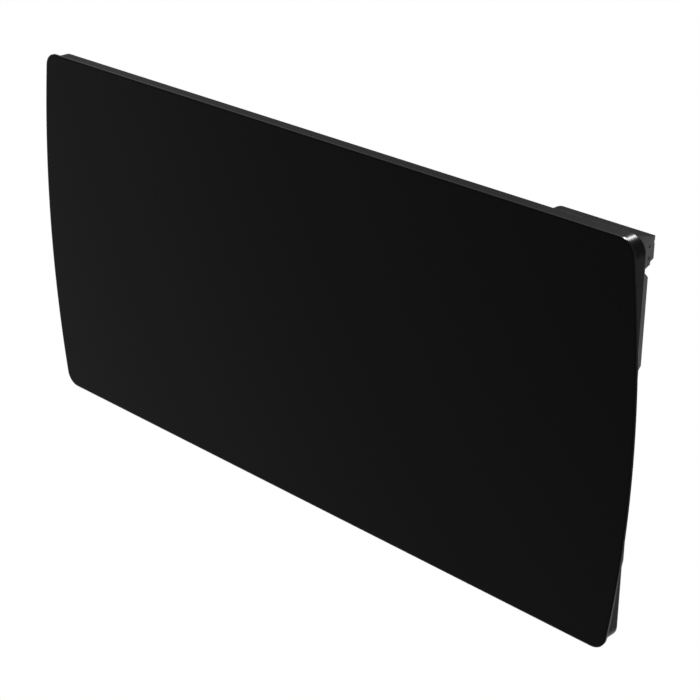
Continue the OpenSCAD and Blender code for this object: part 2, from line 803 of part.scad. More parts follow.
module board_parts() {
    room = z_board_front - z_box_rear - box_wall - seat;
    x0 = board_x[0] + relay[1];
    x1 = x0 + relay[0] + 2 * capacitor_r + 2;
    x2 = x1 + 2 * capacitor_r + 2 * small_capacitor_r + 2;
    y0 = (board_y[0] + board_y[1]) / 2;
    color([0.2, 0.3, 0.5]) stand() {
        block([x0, y0 - relay[1] / 2, z_board_front - min(relay[2], room)],
            [x0 + relay[0], y0 + relay[1] / 2, z_board_front]);
        translate([x1, y0 - capacitor_r, 0]) post(capacitor_r, z_board_front - room * 0.9, z_board_front);
        translate([x1 + 2 * capacitor_r + 2, y0 + small_capacitor_r + 1, 0])
            post(small_capacitor_r, z_board_front - room * 0.8, z_board_front);
        block([x2, y0 - plug_side, z_board_front - room * 0.4], [x2 + plug_side, y0, z_board_front]);
        for (k = [0 : 2]) {
            block([x2 + k * led_pitch, y0 + 4, z_board_front - room * 0.8],
                [x2 + (k + 0.9) * led_pitch, y0 + plug_side, z_board_front]);
        }
    }
}

module touch_board() {
    x1 = x_side - flange_w - 2.5;
    y1 = y_top - touch_drop;
    color([0.1, 0.3, 0.2]) stand() {
        block([x1 - touch_size[0], y1 - touch_size[1], z_glass_back - touch_size[2]], [x1, y1, z_glass_back]);
        for (k = [0 : 3]) {
            y2 = y1 - (k + 0.5) * touch_pitch;
            block([x1 - 0.75 * touch_size[0], y2 - touch_pitch * 0.4, z_glass_back - 1.75 * touch_size[2]],
                [x1 - 0.25 * touch_size[0], y2, z_glass_back - touch_size[2]]);
        }
    }
}

module terminal_block() {
    size = terminal_size;
    color([0.85, 0.85, 0.82]) stand() translate([x_terminal - size[0] / 2, y_terminal - size[1] / 2, z_frame_back])
        difference() {
            cube(size);
            for (k = [0 : 2]) {
                translate([6 + 12 * k, size[1] / 2 + 4, size[2] - 8]) cylinder(r = 2, h = 9);
                translate([6 + 12 * k, size[1] / 2 - 4, size[2] - 8]) cylinder(r = 2, h = 9);
                translate([12 * k + 11.6, -1, 4]) cube([0.8, size[1] + 2, size[2]]);
            }
        }
}

// Lays out a switch piece: X along the rocker, Y out of the frame's underside, Z across
module at_switch() {
    translate([x_switch, -y_top, z_switch]) mirror([0, 1, 0]) children();
}

module switch_body() {
    pocket = [rocker_half + 1, 4.6];
    color([0.12, 0.12, 0.12]) stand() at_switch() difference() {
        union() {
            translate([0, 0, 0]) rotate([-90, 0, 0]) linear_extrude(bezel_t) round_rect(switch_w + 2.6, switch_t + 2.6, 1.5);
            block([-switch_w / 2, -switch_in, -switch_t / 2], [switch_w / 2, eps, switch_t / 2]);
            for (k = [-1 : 1]) {
                block([k * 6.5 - 2.4, -switch_in - 7, -0.4], [k * 6.5 + 2.4, -switch_in + eps, 0.4]);
            }
        }
        block([-pocket[0], -rocker_pivot - 6, -pocket[1]], [pocket[0], bezel_t + 1, pocket[1]]);
        translate([0, -rocker_pivot, 0]) cylinder(r = rocker_pin_r + fit, h = 2 * pocket[1] + 2.4, center = true);
    }
}

module power_rocker() {
    profile = [[-rocker_half, 5], [0, 4], [rocker_half, 5], [rocker_half, 2.5], [3, -2], [-3, -2], [-rocker_half, 2.5]];
    color([0.16, 0.16, 0.16]) stand() at_switch() translate([0, -rocker_pivot, 0]) rotate([0, 0, rocker_swing / 2]) {
        linear_extrude(8.8, center = true) polygon(profile);
        cylinder(r = rocker_pin_r, h = 11.2, center = true);
    }
}

module thermal_cutouts() {
    color([0.8, 0.78, 0.7]) stand() for (x = cutout_xs) {
        translate([x, cutout_y, 0]) {
            post(cutout_r, z_slab_back - 6.5, z_slab_back);
            translate([0, 0, z_reflector_back - 0.6]) linear_extrude(0.6) round_rect(38, 12, 3);
            for (s = [-1, 1]) {
                block([s * 4 - 1.5, -0.4, z_slab_back - 6.5 - 1.2], [s * 4 + 1.5, 0.4, z_slab_back - 6.5 + eps]);
            }
        }
    }
}

module room_sensor() {
    color([0.75, 0.75, 0.72]) stand() translate([x_terminal - 60, y_terminal + 2, 0]) {
        translate([0, 0, z_frame_back]) linear_extrude(2) round_rect(18, 10, 2);
        translate([0, 0, z_frame_back + 2 + 2.4 - eps]) rotate([0, 90, 0]) cylinder(r = 2.4, h = 16, center = true);
        block([-3, -2.4, z_frame_back + 2 - eps], [3, 2.4, z_frame_back + 3]);
    }
}

function unit(v) = v / norm(v);

// A lead through a list of corners at right angles: straight runs joined by bends
module lead(points) {
    n = len(points) - 1;
    for (i = [0 : n - 1]) {
        d = unit(points[i + 1] - points[i]);
        a = points[i] + (i > 0 ? wire_bend : 0) * d;
        b = points[i + 1] - (i < n - 1 ? wire_bend : 0) * d;
        translate(a) rotate([0, acos(d[2]), atan2(d[1], d[0])]) cylinder(r = wire_r, h = norm(b - a));
    }
    for (i = [1 : n - 1]) {
        d1 = unit(points[i] - points[i - 1]);
        d2 = unit(points[i + 1] - points[i]);
        o = points[i] + wire_bend * (d2 - d1);
        z = cross(d1, d2);
        multmatrix([[-d2[0], d1[0], z[0], o[0]], [-d2[1], d1[1], z[1], o[1]], [-d2[2], d1[2], z[2], o[2]], [0, 0, 0, 1]])
            rotate_extrude(angle = 90) translate([wire_bend, 0]) circle(wire_r);
    }
}

module core_wiring() {
    y_block = y_terminal + terminal_size[1] / 2;
    color([0.75, 0.25, 0.2]) stand() lead([
        [x_wire, y_wire_top, z_board_back], [x_wire, y_wire_top, z_wire], [x_wire, y_wire_low, z_wire],
        [x_terminal, y_wire_low, z_wire], [x_terminal, y_block, z_wire]]);
}

module cable_gland() {
    color([0.18, 0.18, 0.18]) stand() translate([x_inlet, y_inlet, 0]) difference() {
        union() {
            translate([0, 0, z_sheet - 3.2]) cylinder(r = 9.2, h = 3.2, $fn = 6);
            post(7, z_sheet - inlet_outside + 2, z_sheet - 3.2 + eps);
            translate([0, 0, z_sheet - inlet_outside]) cylinder(r1 = 5.4, r2 = 7, h = 2 + eps);
            post(inlet_thread_r, z_sheet - eps, z_frame_back + inlet_inside);
        }
        post(inlet_bore_d / 2, z_sheet - inlet_outside - 1, z_frame_back + inlet_inside + 1);
    }
}

module gland_nut() {
    color([0.2, 0.2, 0.2]) stand() translate([x_inlet, y_inlet, z_frame_back]) difference() {
        cylinder(r = 9.2, h = 3.5, $fn = 6);
        translate([0, 0, -1]) cylinder(r = inlet_thread_r + fit, h = 6);
    }
}

// Hook in the plane of a channel's side wall: tongue through the panel's window, notch for its upper edge
function hook_outline() = let (notch_in = z_high - hook_clear, notch_out = z_high + sheet_t + hook_clear,
    tip_out = notch_out + hook_tip_t) [
    [y_hook - hook_tongue, channel_depth - bracket_t - 1], [y_hook - hook_tongue, tip_out - 1.5],
    [y_hook - hook_tongue + 1.5, tip_out], [y_hook + hook_tip - 2, tip_out], [y_hook + hook_tip, tip_out - 1.5],
    [y_hook + hook_tip, notch_out], [y_hook, notch_out], [y_hook, notch_in], [y_hook + 10, notch_in],
    [y_hook + 13, notch_in - 3], [y_hook + 13, channel_depth - bracket_t - 1]];

// Hat-section channel of one side, laid at positive X
module channel() {
    fold = 2.4;
    difference() {
        union() {
            translate([x_channel, 0, 0]) along_y(y_channel_low, y_channel_top) difference() {
                union() {
                    round_top(channel_w, channel_depth, fold);
                    translate([-channel_w / 2 - channel_flange, 0]) square([channel_w + 2 * channel_flange, bracket_t]);
                }
                translate([0, -eps])
                    round_top(channel_w - 2 * bracket_t, channel_depth - bracket_t + eps, fold - bracket_t);
            }
            for (s = [-1, 1]) {
                translate([x_channel + s * (channel_w - bracket_t) / 2, 0, 0]) along_x(bracket_t) polygon(hook_outline());
            }
        }
        for (s = [-1, 1]) {
            translate([x_slot, s * screw_rows / 2, 0]) slot_x(slot_len, slot_w, -1, bracket_t + 1);
            // the flanges' outer corners are cut off
            for (y = [y_channel_low, y_channel_top]) {
                translate([x_channel + s * (channel_w / 2 + channel_flange), y, -1]) rotate([0, 0, 45])
                    cube([8, 8, 2 * bracket_t + 2], center = true);
            }
        }
        for (y = rail_ys, dy = [-rivet_dy, rivet_dy]) {
            translate([rail_end - rivet_dx, y + dy, 0]) post(rivet_r + fit, -1, bracket_t + 1);
        }
        translate([x_channel, y_lock, 0]) post(lock_pin_d / 2 + fit, channel_depth - bracket_t - 1, channel_depth + 1);
    }
}

module channel_right() {
    color([0.55, 0.56, 0.57]) stand() channel();
}

module channel_left() {
    color([0.55, 0.56, 0.57]) stand() mirror([1, 0, 0]) channel();
}

// Cross rail: a shallow tray section lying on the channels' inner flanges
module rail(y) {
    difference() {
        translate([0, y, bracket_t]) along_x(2 * rail_end) difference() {
            translate([0, rail_flange]) mirror([0, 1]) round_top(rail_h, rail_flange, 2);
            translate([0, rail_flange + eps]) mirror([0, 1])
                round_top(rail_h - 2 * rail_t, rail_flange - rail_t + eps, 2 - rail_t);
        }
        for (s = [-1, 1], dy = [-rivet_dy, rivet_dy]) {
            translate([s * (rail_end - rivet_dx), y + dy, 0]) post(rivet_r + fit, 0, bracket_t + rail_t + 1);
        }
    }
}

module rail_top() {
    color([0.55, 0.56, 0.57]) stand() rail(rail_ys[0]);
}

module rail_bottom() {
    color([0.55, 0.56, 0.57]) stand() rail(rail_ys[1]);
}

module rail_rivets() {
    top = bracket_t + rail_t;
    color([0.7, 0.7, 0.71]) stand() for (s = [-1, 1], y = rail_ys, dy = [-rivet_dy, rivet_dy]) {
        translate([s * (rail_end - rivet_dx), y + dy, 0]) {
            post(rivet_r, 0, top + eps);
            translate([0, 0, top]) cylinder(r1 = rivet_r + 1.6, r2 = rivet_r + 0.4, h = 1.4);
        }
    }
}

// Lever of the right-hand lock: nose outboard over the keeper, finger tab inboard with a raised lip
module lock_lever() {
    translate([x_channel, y_lock, z_lever]) difference() {
        union() {
            linear_extrude(lever_t) {
                circle(lever_hub_r);
                difference() {
                    translate([0, -nose_low]) square([lever_reach, nose_low + 5]);
                    translate([lever_reach, 5]) rotate(45) square(7, center = true);
                }
                translate([-lever_reach + 5, -5]) square([lever_reach - 5, 10]);
                translate([-lever_reach + 5, 0]) circle(5);
            }
            block([-lever_reach, -4, 0], [-lever_reach + 1.6, 4, lever_t + lever_lip]);
        }
        post(lock_pin_d / 2 + fit, -1, lever_t + 1);
    }
}

module lock_lever_right() {
    color([0.8, 0.45, 0.15]) stand() lock_lever();
}

module lock_lever_left() {
    color([0.8, 0.45, 0.15]) stand() mirror([1, 0, 0]) lock_lever();
}

module lock_rivets() {
    r = lock_pin_d / 2;
    top = z_lever + lever_t + seat;
    color([0.72, 0.72, 0.73]) stand() both_sides() translate([x_channel, y_lock, 0]) {
        post(r, channel_depth - bracket_t - eps, top + eps);
        post(r + 1.8, channel_depth - bracket_t - 1.4, channel_depth - bracket_t);
        translate([0, 0, top]) cylinder(r1 = r + 2.4, r2 = r + 1.2, h = 1.6);
    }
}

// Angle riveted on the back panel: its ledge lies just under the lever's nose
module lock_keepers() {
    color([0.6, 0.6, 0.61]) stand() {
        both_sides() {
            block([keeper_x[0], y_keeper - keeper_drop, z_sheet - keeper_t], [keeper_x[1], y_keeper, z_sheet]);
            block([keeper_x[0], y_keeper - keeper_t, channel_depth - 1], [keeper_x[1], y_keeper, z_sheet - keeper_t + eps]);
        }
        at_keeper_rivets() {
            post(1.6, z_sheet - keeper_t, z_frame_back + eps);
            post(2.8, z_frame_back, z_frame_back + 1);
            post(2.8, z_sheet - keeper_t - 1, z_sheet - keeper_t + eps);
        }
    }
}

module bracket_buffers() {
    color([0.12, 0.12, 0.12]) stand() both_sides() translate([x_channel, y_buffer, channel_depth])
        cylinder(r1 = buffer_r, r2 = buffer_r - 1.5, h = buffer_t);
}

glass_front();
glass_bond();
frame();
frame_joiner();
ceramic_slabs();
heating_ribbons();
clamp_bars();
clamp_screws();
reflector_sheet();
insulation_mat();
back_panel();
panel_screws();
control_base();
control_lid();
lid_screws();
side_screws();
control_board();
board_parts();
touch_board();
terminal_block();
switch_body();
power_rocker();
thermal_cutouts();
room_sensor();
core_wiring();
cable_gland();
gland_nut();
channel_left();
channel_right();
rail_top();
rail_bottom();
rail_rivets();
lock_lever_left();
lock_lever_right();
lock_rivets();
lock_keepers();
bracket_buffers();
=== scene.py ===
"""Looks of the ceramic electric radiator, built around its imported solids."""

import json
import logging
import math
from dataclasses import dataclass
from enum import Enum
from typing import Mapping, Sequence, Union

import bmesh
import bpy
from mathutils import Matrix, Vector

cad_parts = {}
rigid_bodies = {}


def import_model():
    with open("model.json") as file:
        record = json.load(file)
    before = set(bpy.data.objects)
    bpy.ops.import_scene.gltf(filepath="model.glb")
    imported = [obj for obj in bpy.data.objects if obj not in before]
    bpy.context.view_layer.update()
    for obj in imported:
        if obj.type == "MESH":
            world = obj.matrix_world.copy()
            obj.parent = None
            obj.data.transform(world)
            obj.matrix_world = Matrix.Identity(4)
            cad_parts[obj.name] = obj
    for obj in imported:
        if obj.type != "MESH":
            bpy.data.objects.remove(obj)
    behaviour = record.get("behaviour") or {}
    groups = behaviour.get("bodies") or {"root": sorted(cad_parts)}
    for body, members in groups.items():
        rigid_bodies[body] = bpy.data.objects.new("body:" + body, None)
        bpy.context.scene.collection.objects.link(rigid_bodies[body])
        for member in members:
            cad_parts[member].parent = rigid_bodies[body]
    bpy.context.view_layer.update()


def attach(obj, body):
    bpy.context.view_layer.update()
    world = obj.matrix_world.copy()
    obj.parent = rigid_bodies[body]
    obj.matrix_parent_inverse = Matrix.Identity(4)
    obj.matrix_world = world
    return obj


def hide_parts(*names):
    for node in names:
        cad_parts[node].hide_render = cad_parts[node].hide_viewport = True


LOG = logging.getLogger("radiator")

Triple = tuple[float, float, float]
Colour = Triple
Flat = tuple[float, float]
Value = Union["Number", float, int]

MM = 0.001
WHITE: Colour = (1.0, 1.0, 1.0)


class Zone(Enum):
    """Where a face lies on the glass plate."""

    FACE = 0
    EDGE = 1
    PRINT = 2


class Side(Enum):
    """The two ends of the radiator, seen from the room."""

    LEFT = -1
    RIGHT = 1


class Section(Enum):
    """The shapes that the gland's skin has along its axis."""

    ROUND = "round"
    RIBBED = "ribbed"
    HEXAGON = "hexagon"


class Reach(Enum):
    """What a lamp's light shows in."""

    BOTH = "diffuse and glossy"
    FILL = "diffuse"
    GLINT = "glossy"


class Number:
    """A number that varies over a surface. Maths on it adds Math nodes to its shader."""

    def __init__(self, graph: "ShaderGraph", socket: bpy.types.NodeSocket) -> None:
        """Wraps an output socket.

        Args:
            graph: The shader that the socket belongs to.
            socket: The output that holds the number.
        """
        self.graph = graph
        self.socket = socket

    def math(self, operation: str, *values: Value) -> "Number":
        """Adds a Math node.

        Args:
            operation: The node's operation.
            *values: What its sockets take, in order.

        Returns:
            The node's result.
        """
        node = self.graph.node("ShaderNodeMath", {"operation": operation}, dict(enumerate(values)))
        return Number(self.graph, node.outputs[0])

    def __add__(self, other: Value) -> "Number":
        """Adds other."""
        return self.math("ADD", self, other)

    __radd__ = __add__

    def __sub__(self, other: Value) -> "Number":
        """Takes other away."""
        return self.math("SUBTRACT", self, other)

    def __rsub__(self, other: Value) -> "Number":
        """Takes the number away from other."""
        return self.math("SUBTRACT", other, self)

    def __mul__(self, other: Value) -> "Number":
        """Multiplies by other."""
        return self.math("MULTIPLY", self, other)

    __rmul__ = __mul__

    def between(self, low: float, high: float) -> "Number":
        """Turns the number into a smooth step.

        Args:
            low: Where the step starts from 0.
            high: Where it reaches 1.

        Returns:
            A number from 0 to 1.
        """
        node = self.graph.node(
            "ShaderNodeMapRange",
            {"interpolation_type": "SMOOTHSTEP"},
            {"Value": self, "From Min": low, "From Max": high},
        )
        return Number(self.graph, node.outputs["Result"])


class ShaderGraph:
    """The node tree of one material or world."""

    def __init__(self, tree: bpy.types.NodeTree, target: str) -> None:
        """Empties the tree and gives it an output.

        Args:
            tree: The node tree to fill.
            target: The kind of its output node.
        """
        self.tree = tree
        self.tree.nodes.clear()
        self.output = self.node(target)

    def node(
        self,
        kind: str,
        settings: Mapping[str, object] | None = None,
        values: Mapping[Union[str, int], object] | None = None,
    ) -> bpy.types.Node:
        """Adds any node.

        Args:
            kind: The node's type.
            settings: Its properties, set first.
            values: What its sockets take, by name or place: values, sockets or numbers.

        Returns:
            The node.
        """
        node = self.tree.nodes.new(kind)
        for name, value in (settings or {}).items():
            setattr(node, name, value)
        for key, value in (values or {}).items():
            source = value.socket if isinstance(value, Number) else value
            if isinstance(source, bpy.types.NodeSocket):
                self.tree.links.new(source, node.inputs[key])
            elif isinstance(source, tuple) and node.inputs[key].type == "RGBA":
                node.inputs[key].default_value = (*source, 1.0)
            else:
                node.inputs[key].default_value = source
        return node

    def place(self) -> bpy.types.NodeSocket:
        """Returns the position on the piece, in metres."""
        return self.node("ShaderNodeTexCoord").outputs["Object"]

    def stretched(self, scale: Triple) -> bpy.types.NodeSocket:
        """Returns the position with each axis scaled.

        Args:
            scale: The factor along each axis.

        Returns:
            The scaled position.
        """
        node = self.node("ShaderNodeVectorMath", {"operation": "MULTIPLY"}, {0: self.place(), 1: scale})
        return node.outputs["Vector"]

    def noise(self, size: float, detail: float = 2.0, where: bpy.types.NodeSocket | None = None) -> Number:
        """Adds a cloudy pattern.

        Args:
            size: The width of its clouds in metres.
            detail: How many finer layers it has.
            where: The position to read it at; the piece's own by default.

        Returns:
            A number from 0 to 1 that averages 0.5.
        """
        values = {"Vector": where or self.place(), "Scale": 1.0 / size, "Detail": detail}
        return Number(self, self.node("ShaderNodeTexNoise", {}, values).outputs[0])

    def voronoi(self, size: float) -> bpy.types.Node:
        """Returns a pattern of cells, size metres wide."""
        return self.node("ShaderNodeTexVoronoi", {}, {"Vector": self.place(), "Scale": 1.0 / size})

    def cells(self, size: float) -> Number:
        """Adds a pattern of crystals.

        Args:
            size: Their width in metres.

        Returns:
            A number from 0 to 1, the same all over each crystal.
        """
        split = self.node("ShaderNodeSeparateColor", {}, {0: self.voronoi(size).outputs["Color"]})
        return Number(self, split.outputs[0])

    def pits(self, size: float) -> Number:
        """Adds a pattern of rounded grains.

        Args:
            size: Their width in metres.

        Returns:
            The distance from each grain's middle, from 0 to about 1.
        """
        return Number(self, self.voronoi(size).outputs["Distance"])

    def mix(self, factor: Number, first: object, second: object) -> bpy.types.NodeSocket:
        """Mixes two colours.

        Args:
            factor: How much of the second colour there is.
            first: A colour or a socket that holds one.
            second: The other colour.

        Returns:
            The mixed colour.
        """
        node = self.node("ShaderNodeMix", {"data_type": "RGBA"}, {0: factor, 6: first, 7: second})
        return node.outputs[2]

    def worn(self, radius: float) -> bpy.types.NodeSocket:
        """Returns a normal that rounds off sharp edges.

        Args:
            radius: The rounding in metres.

        Returns:
            The softened normal.
        """
        return self.node("ShaderNodeBevel", {"samples": 4}, {"Radius": radius}).outputs[0]

    def bump(
        self, height: Number, depth: float, normal: bpy.types.NodeSocket | None = None
    ) -> bpy.types.NodeSocket:
        """Turns a height into a normal.

        Args:
            height: The height, from 0 to 1.
            depth: How deep the pattern is, in metres.
            normal: The normal that it disturbs.

        Returns:
            The disturbed normal.
        """
        values: dict[Union[str, int], object] = {"Height": height, "Distance": depth, "Strength": 1.0}
        if normal is not None:
            values["Normal"] = normal
        return self.node("ShaderNodeBump", {}, values).outputs[0]

    def surface(self, values: Mapping[Union[str, int], object]) -> None:
        """Ends the material in one physical shader.

        Args:
            values: What the shader's sockets take.
        """
        shader = self.node("ShaderNodeBsdfPrincipled", {}, values)
        self.tree.links.new(shader.outputs[0], self.output.inputs[0])


@dataclass(frozen=True)
class Finish:
    """A surface treatment that becomes one material."""

    name: str

    def material(self) -> bpy.types.Material:
        """Makes the finish's material, the first time that it is asked for.

        Returns:
            The material.
        """
        title = f"look_{self.name}"
        found = bpy.data.materials.get(title)
        if found is None:
            found = bpy.data.materials.new(title)
            found.use_nodes = True
            self.shade(ShaderGraph(found.node_tree, "ShaderNodeOutputMaterial"))
        return found

    def shade(self, graph: ShaderGraph) -> None:
        """Fills the material's graph; each kind of finish has its own way."""
        raise NotImplementedError(self.name)


@dataclass(frozen=True)
class BlackGlass(Finish):
    """Toughened glass with a black print behind it."""

    colour: Colour = (0.0006, 0.0006, 0.0007)
    dust: Colour = (0.005, 0.005, 0.005)
    roughness: float = 0.04
    specular: float = 0.04
    streak: float = 0.09
    stretch: Triple = (1.0, 1.0, 2.4)
    speck: float = 0.0011
    speck_step: Flat = (0.74, 0.86)

    def shade(self, graph: ShaderGraph) -> None:
        """Fills the material: a deep black with the faint film that a wiped pane keeps.

        Args:
            graph: The material's nodes.
        """
        wiped = graph.noise(self.streak, 3.0, graph.stretched(self.stretch))
        specks = graph.noise(self.speck, 1.0).between(*self.speck_step)
        graph.surface(
            {
                "Base Color": graph.mix(specks * 0.15, self.colour, self.dust),
                "Roughness": self.roughness + wiped * 0.04 + specks * 0.06,
                "Specular IOR Level": self.specular,
            }
        )


@dataclass(frozen=True)
class GroundEdge(Finish):
    """The smoothly ground rim of the glass."""

    colour: Colour = (0.003, 0.0036, 0.0034)
    light: Colour = (0.006, 0.0068, 0.0066)
    roughness: float = 0.2
    specular: float = 0.022
    grinding: float = 0.0006
    stretch: Triple = (0.3, 8.0, 0.3)
    depth: float = 0.000004

    def shade(self, graph: ShaderGraph) -> None:
        """Fills the material: dark glass with fine grinding lines.

        Args:
            graph: The material's nodes.
        """
        lines = graph.noise(self.grinding, 2.0, graph.stretched(self.stretch))
        graph.surface(
            {
                "Base Color": graph.mix(lines, self.colour, self.light),
                "Roughness": self.roughness + lines * 0.1,
                "Specular IOR Level": self.specular,
                "Normal": graph.bump(lines, self.depth),
            }
        )


@dataclass(frozen=True)
class Enamel(Finish):
    """The print on the back of the glass."""

    colour: Colour = (0.008, 0.008, 0.0085)
    roughness: float = 0.42
    specular: float = 0.3
    mesh: float = 0.0005
    depth: float = 0.000005

    def shade(self, graph: ShaderGraph) -> None:
        """Fills the material: an even matt black with a screen's fine mesh.

        Args:
            graph: The material's nodes.
        """
        mesh = graph.noise(self.mesh, 1.0)
        graph.surface(
            {
                "Base Color": self.colour,
                "Roughness": self.roughness + mesh * 0.16,
                "Specular IOR Level": self.specular,
                "Normal": graph.bump(mesh, self.depth),
            }
        )


@dataclass(frozen=True)
class PowderCoat(Finish):
    """Baked paint with its slight orange peel."""

    colour: Colour = (0.0022, 0.0022, 0.0024)
    light: Colour = (0.0032, 0.0032, 0.0035)
    roughness: float = 0.3
    specular: float = 0.0125
    peel: float = 0.0016
    depth: float = 0.000002
    cloud: float = 0.06
    softness: float = 0.0004

    def shade(self, graph: ShaderGraph) -> None:
        """Fills the material: paint whose skin and tone vary a little.

        Args:
            graph: The material's nodes.
        """
        skin = graph.noise(self.peel, 2.0)
        cloud = graph.noise(self.cloud, 3.0)
        graph.surface(
            {
                "Base Color": graph.mix(cloud.between(0.3, 0.7), self.colour, self.light),
                "Roughness": self.roughness - 0.03 + cloud * 0.06,
                "Specular IOR Level": self.specular,
                "Normal": graph.bump(skin, self.depth, graph.worn(self.softness)),
            }
        )


@dataclass(frozen=True)
class Moulding(Finish):
    """Moulded plastic with a spark-eroded grain."""

    colour: Colour = (0.047, 0.047, 0.0485)
    light: Colour = (0.065, 0.065, 0.0665)
    roughness: float = 0.55
    specular: float = 0.001
    grain: float = 0.0008
    depth: float = 0.00006
    cloud: float = 0.03
    softness: float = 0.0003

    def shade(self, graph: ShaderGraph) -> None:
        """Fills the material: a fine grain with slightly shiny tops.

        Args:
            graph: The material's nodes.
        """
        grains = graph.pits(self.grain)
        cloud = graph.noise(self.cloud, 2.0).between(0.25, 0.75)
        graph.surface(
            {
                "Base Color": graph.mix(cloud * 0.4 + (1.0 - grains) * 0.6, self.colour, self.light),
                "Roughness": self.roughness + grains * 0.12,
                "Specular IOR Level": self.specular,
                "Normal": graph.bump(1.0 - grains, self.depth, graph.worn(self.softness)),
            }
        )


@dataclass(frozen=True)
class Spangle(Finish):
    """Hot-dip galvanised sheet with its zinc crystals."""

    dark: Colour = (0.36, 0.37, 0.385)
    light: Colour = (0.5, 0.51, 0.525)
    roughness: float = 0.34
    crystal: float = 0.007
    grain: float = 0.0009
    depth: float = 0.000006
    softness: float = 0.0003

    def shade(self, graph: ShaderGraph) -> None:
        """Fills the material: crystals that differ in tone and sheen.

        Args:
            graph: The material's nodes.
        """
        crystals = graph.cells(self.crystal)
        fine = graph.noise(self.grain, 2.0)
        graph.surface(
            {
                "Base Color": graph.mix(crystals * 0.8 + fine * 0.2, self.dark, self.light),
                "Roughness": self.roughness + crystals * 0.16 + fine * 0.08,
                "Metallic": 1.0,
                "Normal": graph.bump(fine, self.depth, graph.worn(self.softness)),
            }
        )


@dataclass(frozen=True)
class Plating(Finish):
    """Plated or oxidised steel with faint drawing lines."""

    colour: Colour = (0.6, 0.61, 0.62)
    dark: Colour = (0.48, 0.49, 0.5)
    roughness: float = 0.3
    drawing: float = 0.0008
    stretch: Triple = (0.12, 1.0, 1.0)
    bloom: float = 0.008
    depth: float = 0.000005
    softness: float = 0.0002

    def shade(self, graph: ShaderGraph) -> None:
        """Fills the material: a thin plating over rolled steel.

        Args:
            graph: The material's nodes.
        """
        drawn = graph.noise(self.drawing, 2.0, graph.stretched(self.stretch))
        bloom = graph.noise(self.bloom, 3.0)
        graph.surface(
            {
                "Base Color": graph.mix(bloom.between(0.3, 0.75), self.colour, self.dark),
                "Roughness": self.roughness + bloom * 0.12 + drawn * 0.06,
                "Metallic": 1.0,
                "Normal": graph.bump(drawn, self.depth, graph.worn(self.softness)),
            }
        )


@dataclass(frozen=True)
class Rubber(Finish):
    """Moulded rubber or silicone."""

    colour: Colour = (0.018, 0.018, 0.018)
    roughness: float = 0.62
    specular: float = 0.3
    bloom: float = 0.006
    grain: float = 0.0005
    depth: float = 0.00002

    def shade(self, graph: ShaderGraph) -> None:
        """Fills the material: matt, with a dusty bloom.

        Args:
            graph: The material's nodes.
        """
        bloom = graph.noise(self.bloom, 4.0)
        paler = tuple(min(1.0, c * 1.5 + 0.004) for c in self.colour)
        graph.surface(
            {
                "Base Color": graph.mix(bloom.between(0.35, 0.8), self.colour, paler),
                "Roughness": self.roughness + bloom * 0.2,
                "Specular IOR Level": self.specular,
                "Normal": graph.bump(graph.noise(self.grain, 2.0), self.depth),
            }
        )


@dataclass(frozen=True)
class FiredCeramic(Finish):
    """Pressed and fired ceramic, glazed or not."""

    colour: Colour = (0.66, 0.55, 0.42)
    dark: Colour = (0.42, 0.32, 0.22)
    roughness: float = 0.8
    speck: float = 0.0012
    speck_step: Flat = (0.66, 0.78)
    cloud: float = 0.03
    sand: float = 0.0006
    depth: float = 0.00003

    def shade(self, graph: ShaderGraph) -> None:
        """Fills the material: a sandy body with darker specks.

        Args:
            graph: The material's nodes.
        """
        specks = graph.noise(self.speck, 1.0).between(*self.speck_step)
        body = graph.noise(self.cloud, 3.0)
        sand = graph.noise(self.sand, 2.0)
        tone = graph.mix(body.between(0.3, 0.7) * 0.3, self.colour, self.dark)
        graph.surface(
            {
                "Base Color": graph.mix(specks * 0.7, tone, self.dark),
                "Roughness": self.roughness + sand * 0.1,
                "Normal": graph.bump(sand, self.depth),
            }
        )


@dataclass(frozen=True)
class Felt(Finish):
    """Needled glass-fibre mat."""

    colour: Colour = (0.72, 0.68, 0.55)
    dark: Colour = (0.56, 0.52, 0.4)
    roughness: float = 0.95
    fibre: float = 0.0012
    pull: float = 0.15
    depth: float = 0.0003

    def shade(self, graph: ShaderGraph) -> None:
        """Fills the material: tangled fibres and needle marks.

        Args:
            graph: The material's nodes.
        """
        lengthways = graph.noise(self.fibre, 3.0, graph.stretched((self.pull, 1.0, 1.0)))
        across = graph.noise(self.fibre, 3.0, graph.stretched((1.0, 1.0, self.pull)))
        fibres = lengthways * 0.5 + across * 0.5
        graph.surface(
            {
                "Base Color": graph.mix(fibres.between(0.35, 0.65), self.dark, self.colour),
                "Roughness": self.roughness,
                "Normal": graph.bump(fibres, self.depth),
            }
        )


@dataclass(frozen=True)
class SolderMask(Finish):
    """A circuit board's lacquer over its copper."""

    colour: Colour = (0.012, 0.1, 0.04)
    light: Colour = (0.03, 0.19, 0.075)
    roughness: float = 0.32
    track: float = 0.004
    track_step: Flat = (0.6, 0.62)
    depth: float = 0.00003

    def shade(self, graph: ShaderGraph) -> None:
        """Fills the material: green lacquer with paler tracks under it.

        Args:
            graph: The material's nodes.
        """
        tracks = graph.cells(self.track).between(*self.track_step)
        graph.surface(
            {
                "Base Color": graph.mix(tracks * 0.6, self.colour, self.light),
                "Roughness": self.roughness - tracks * 0.06,
                "Normal": graph.bump(tracks, self.depth),
            }
        )


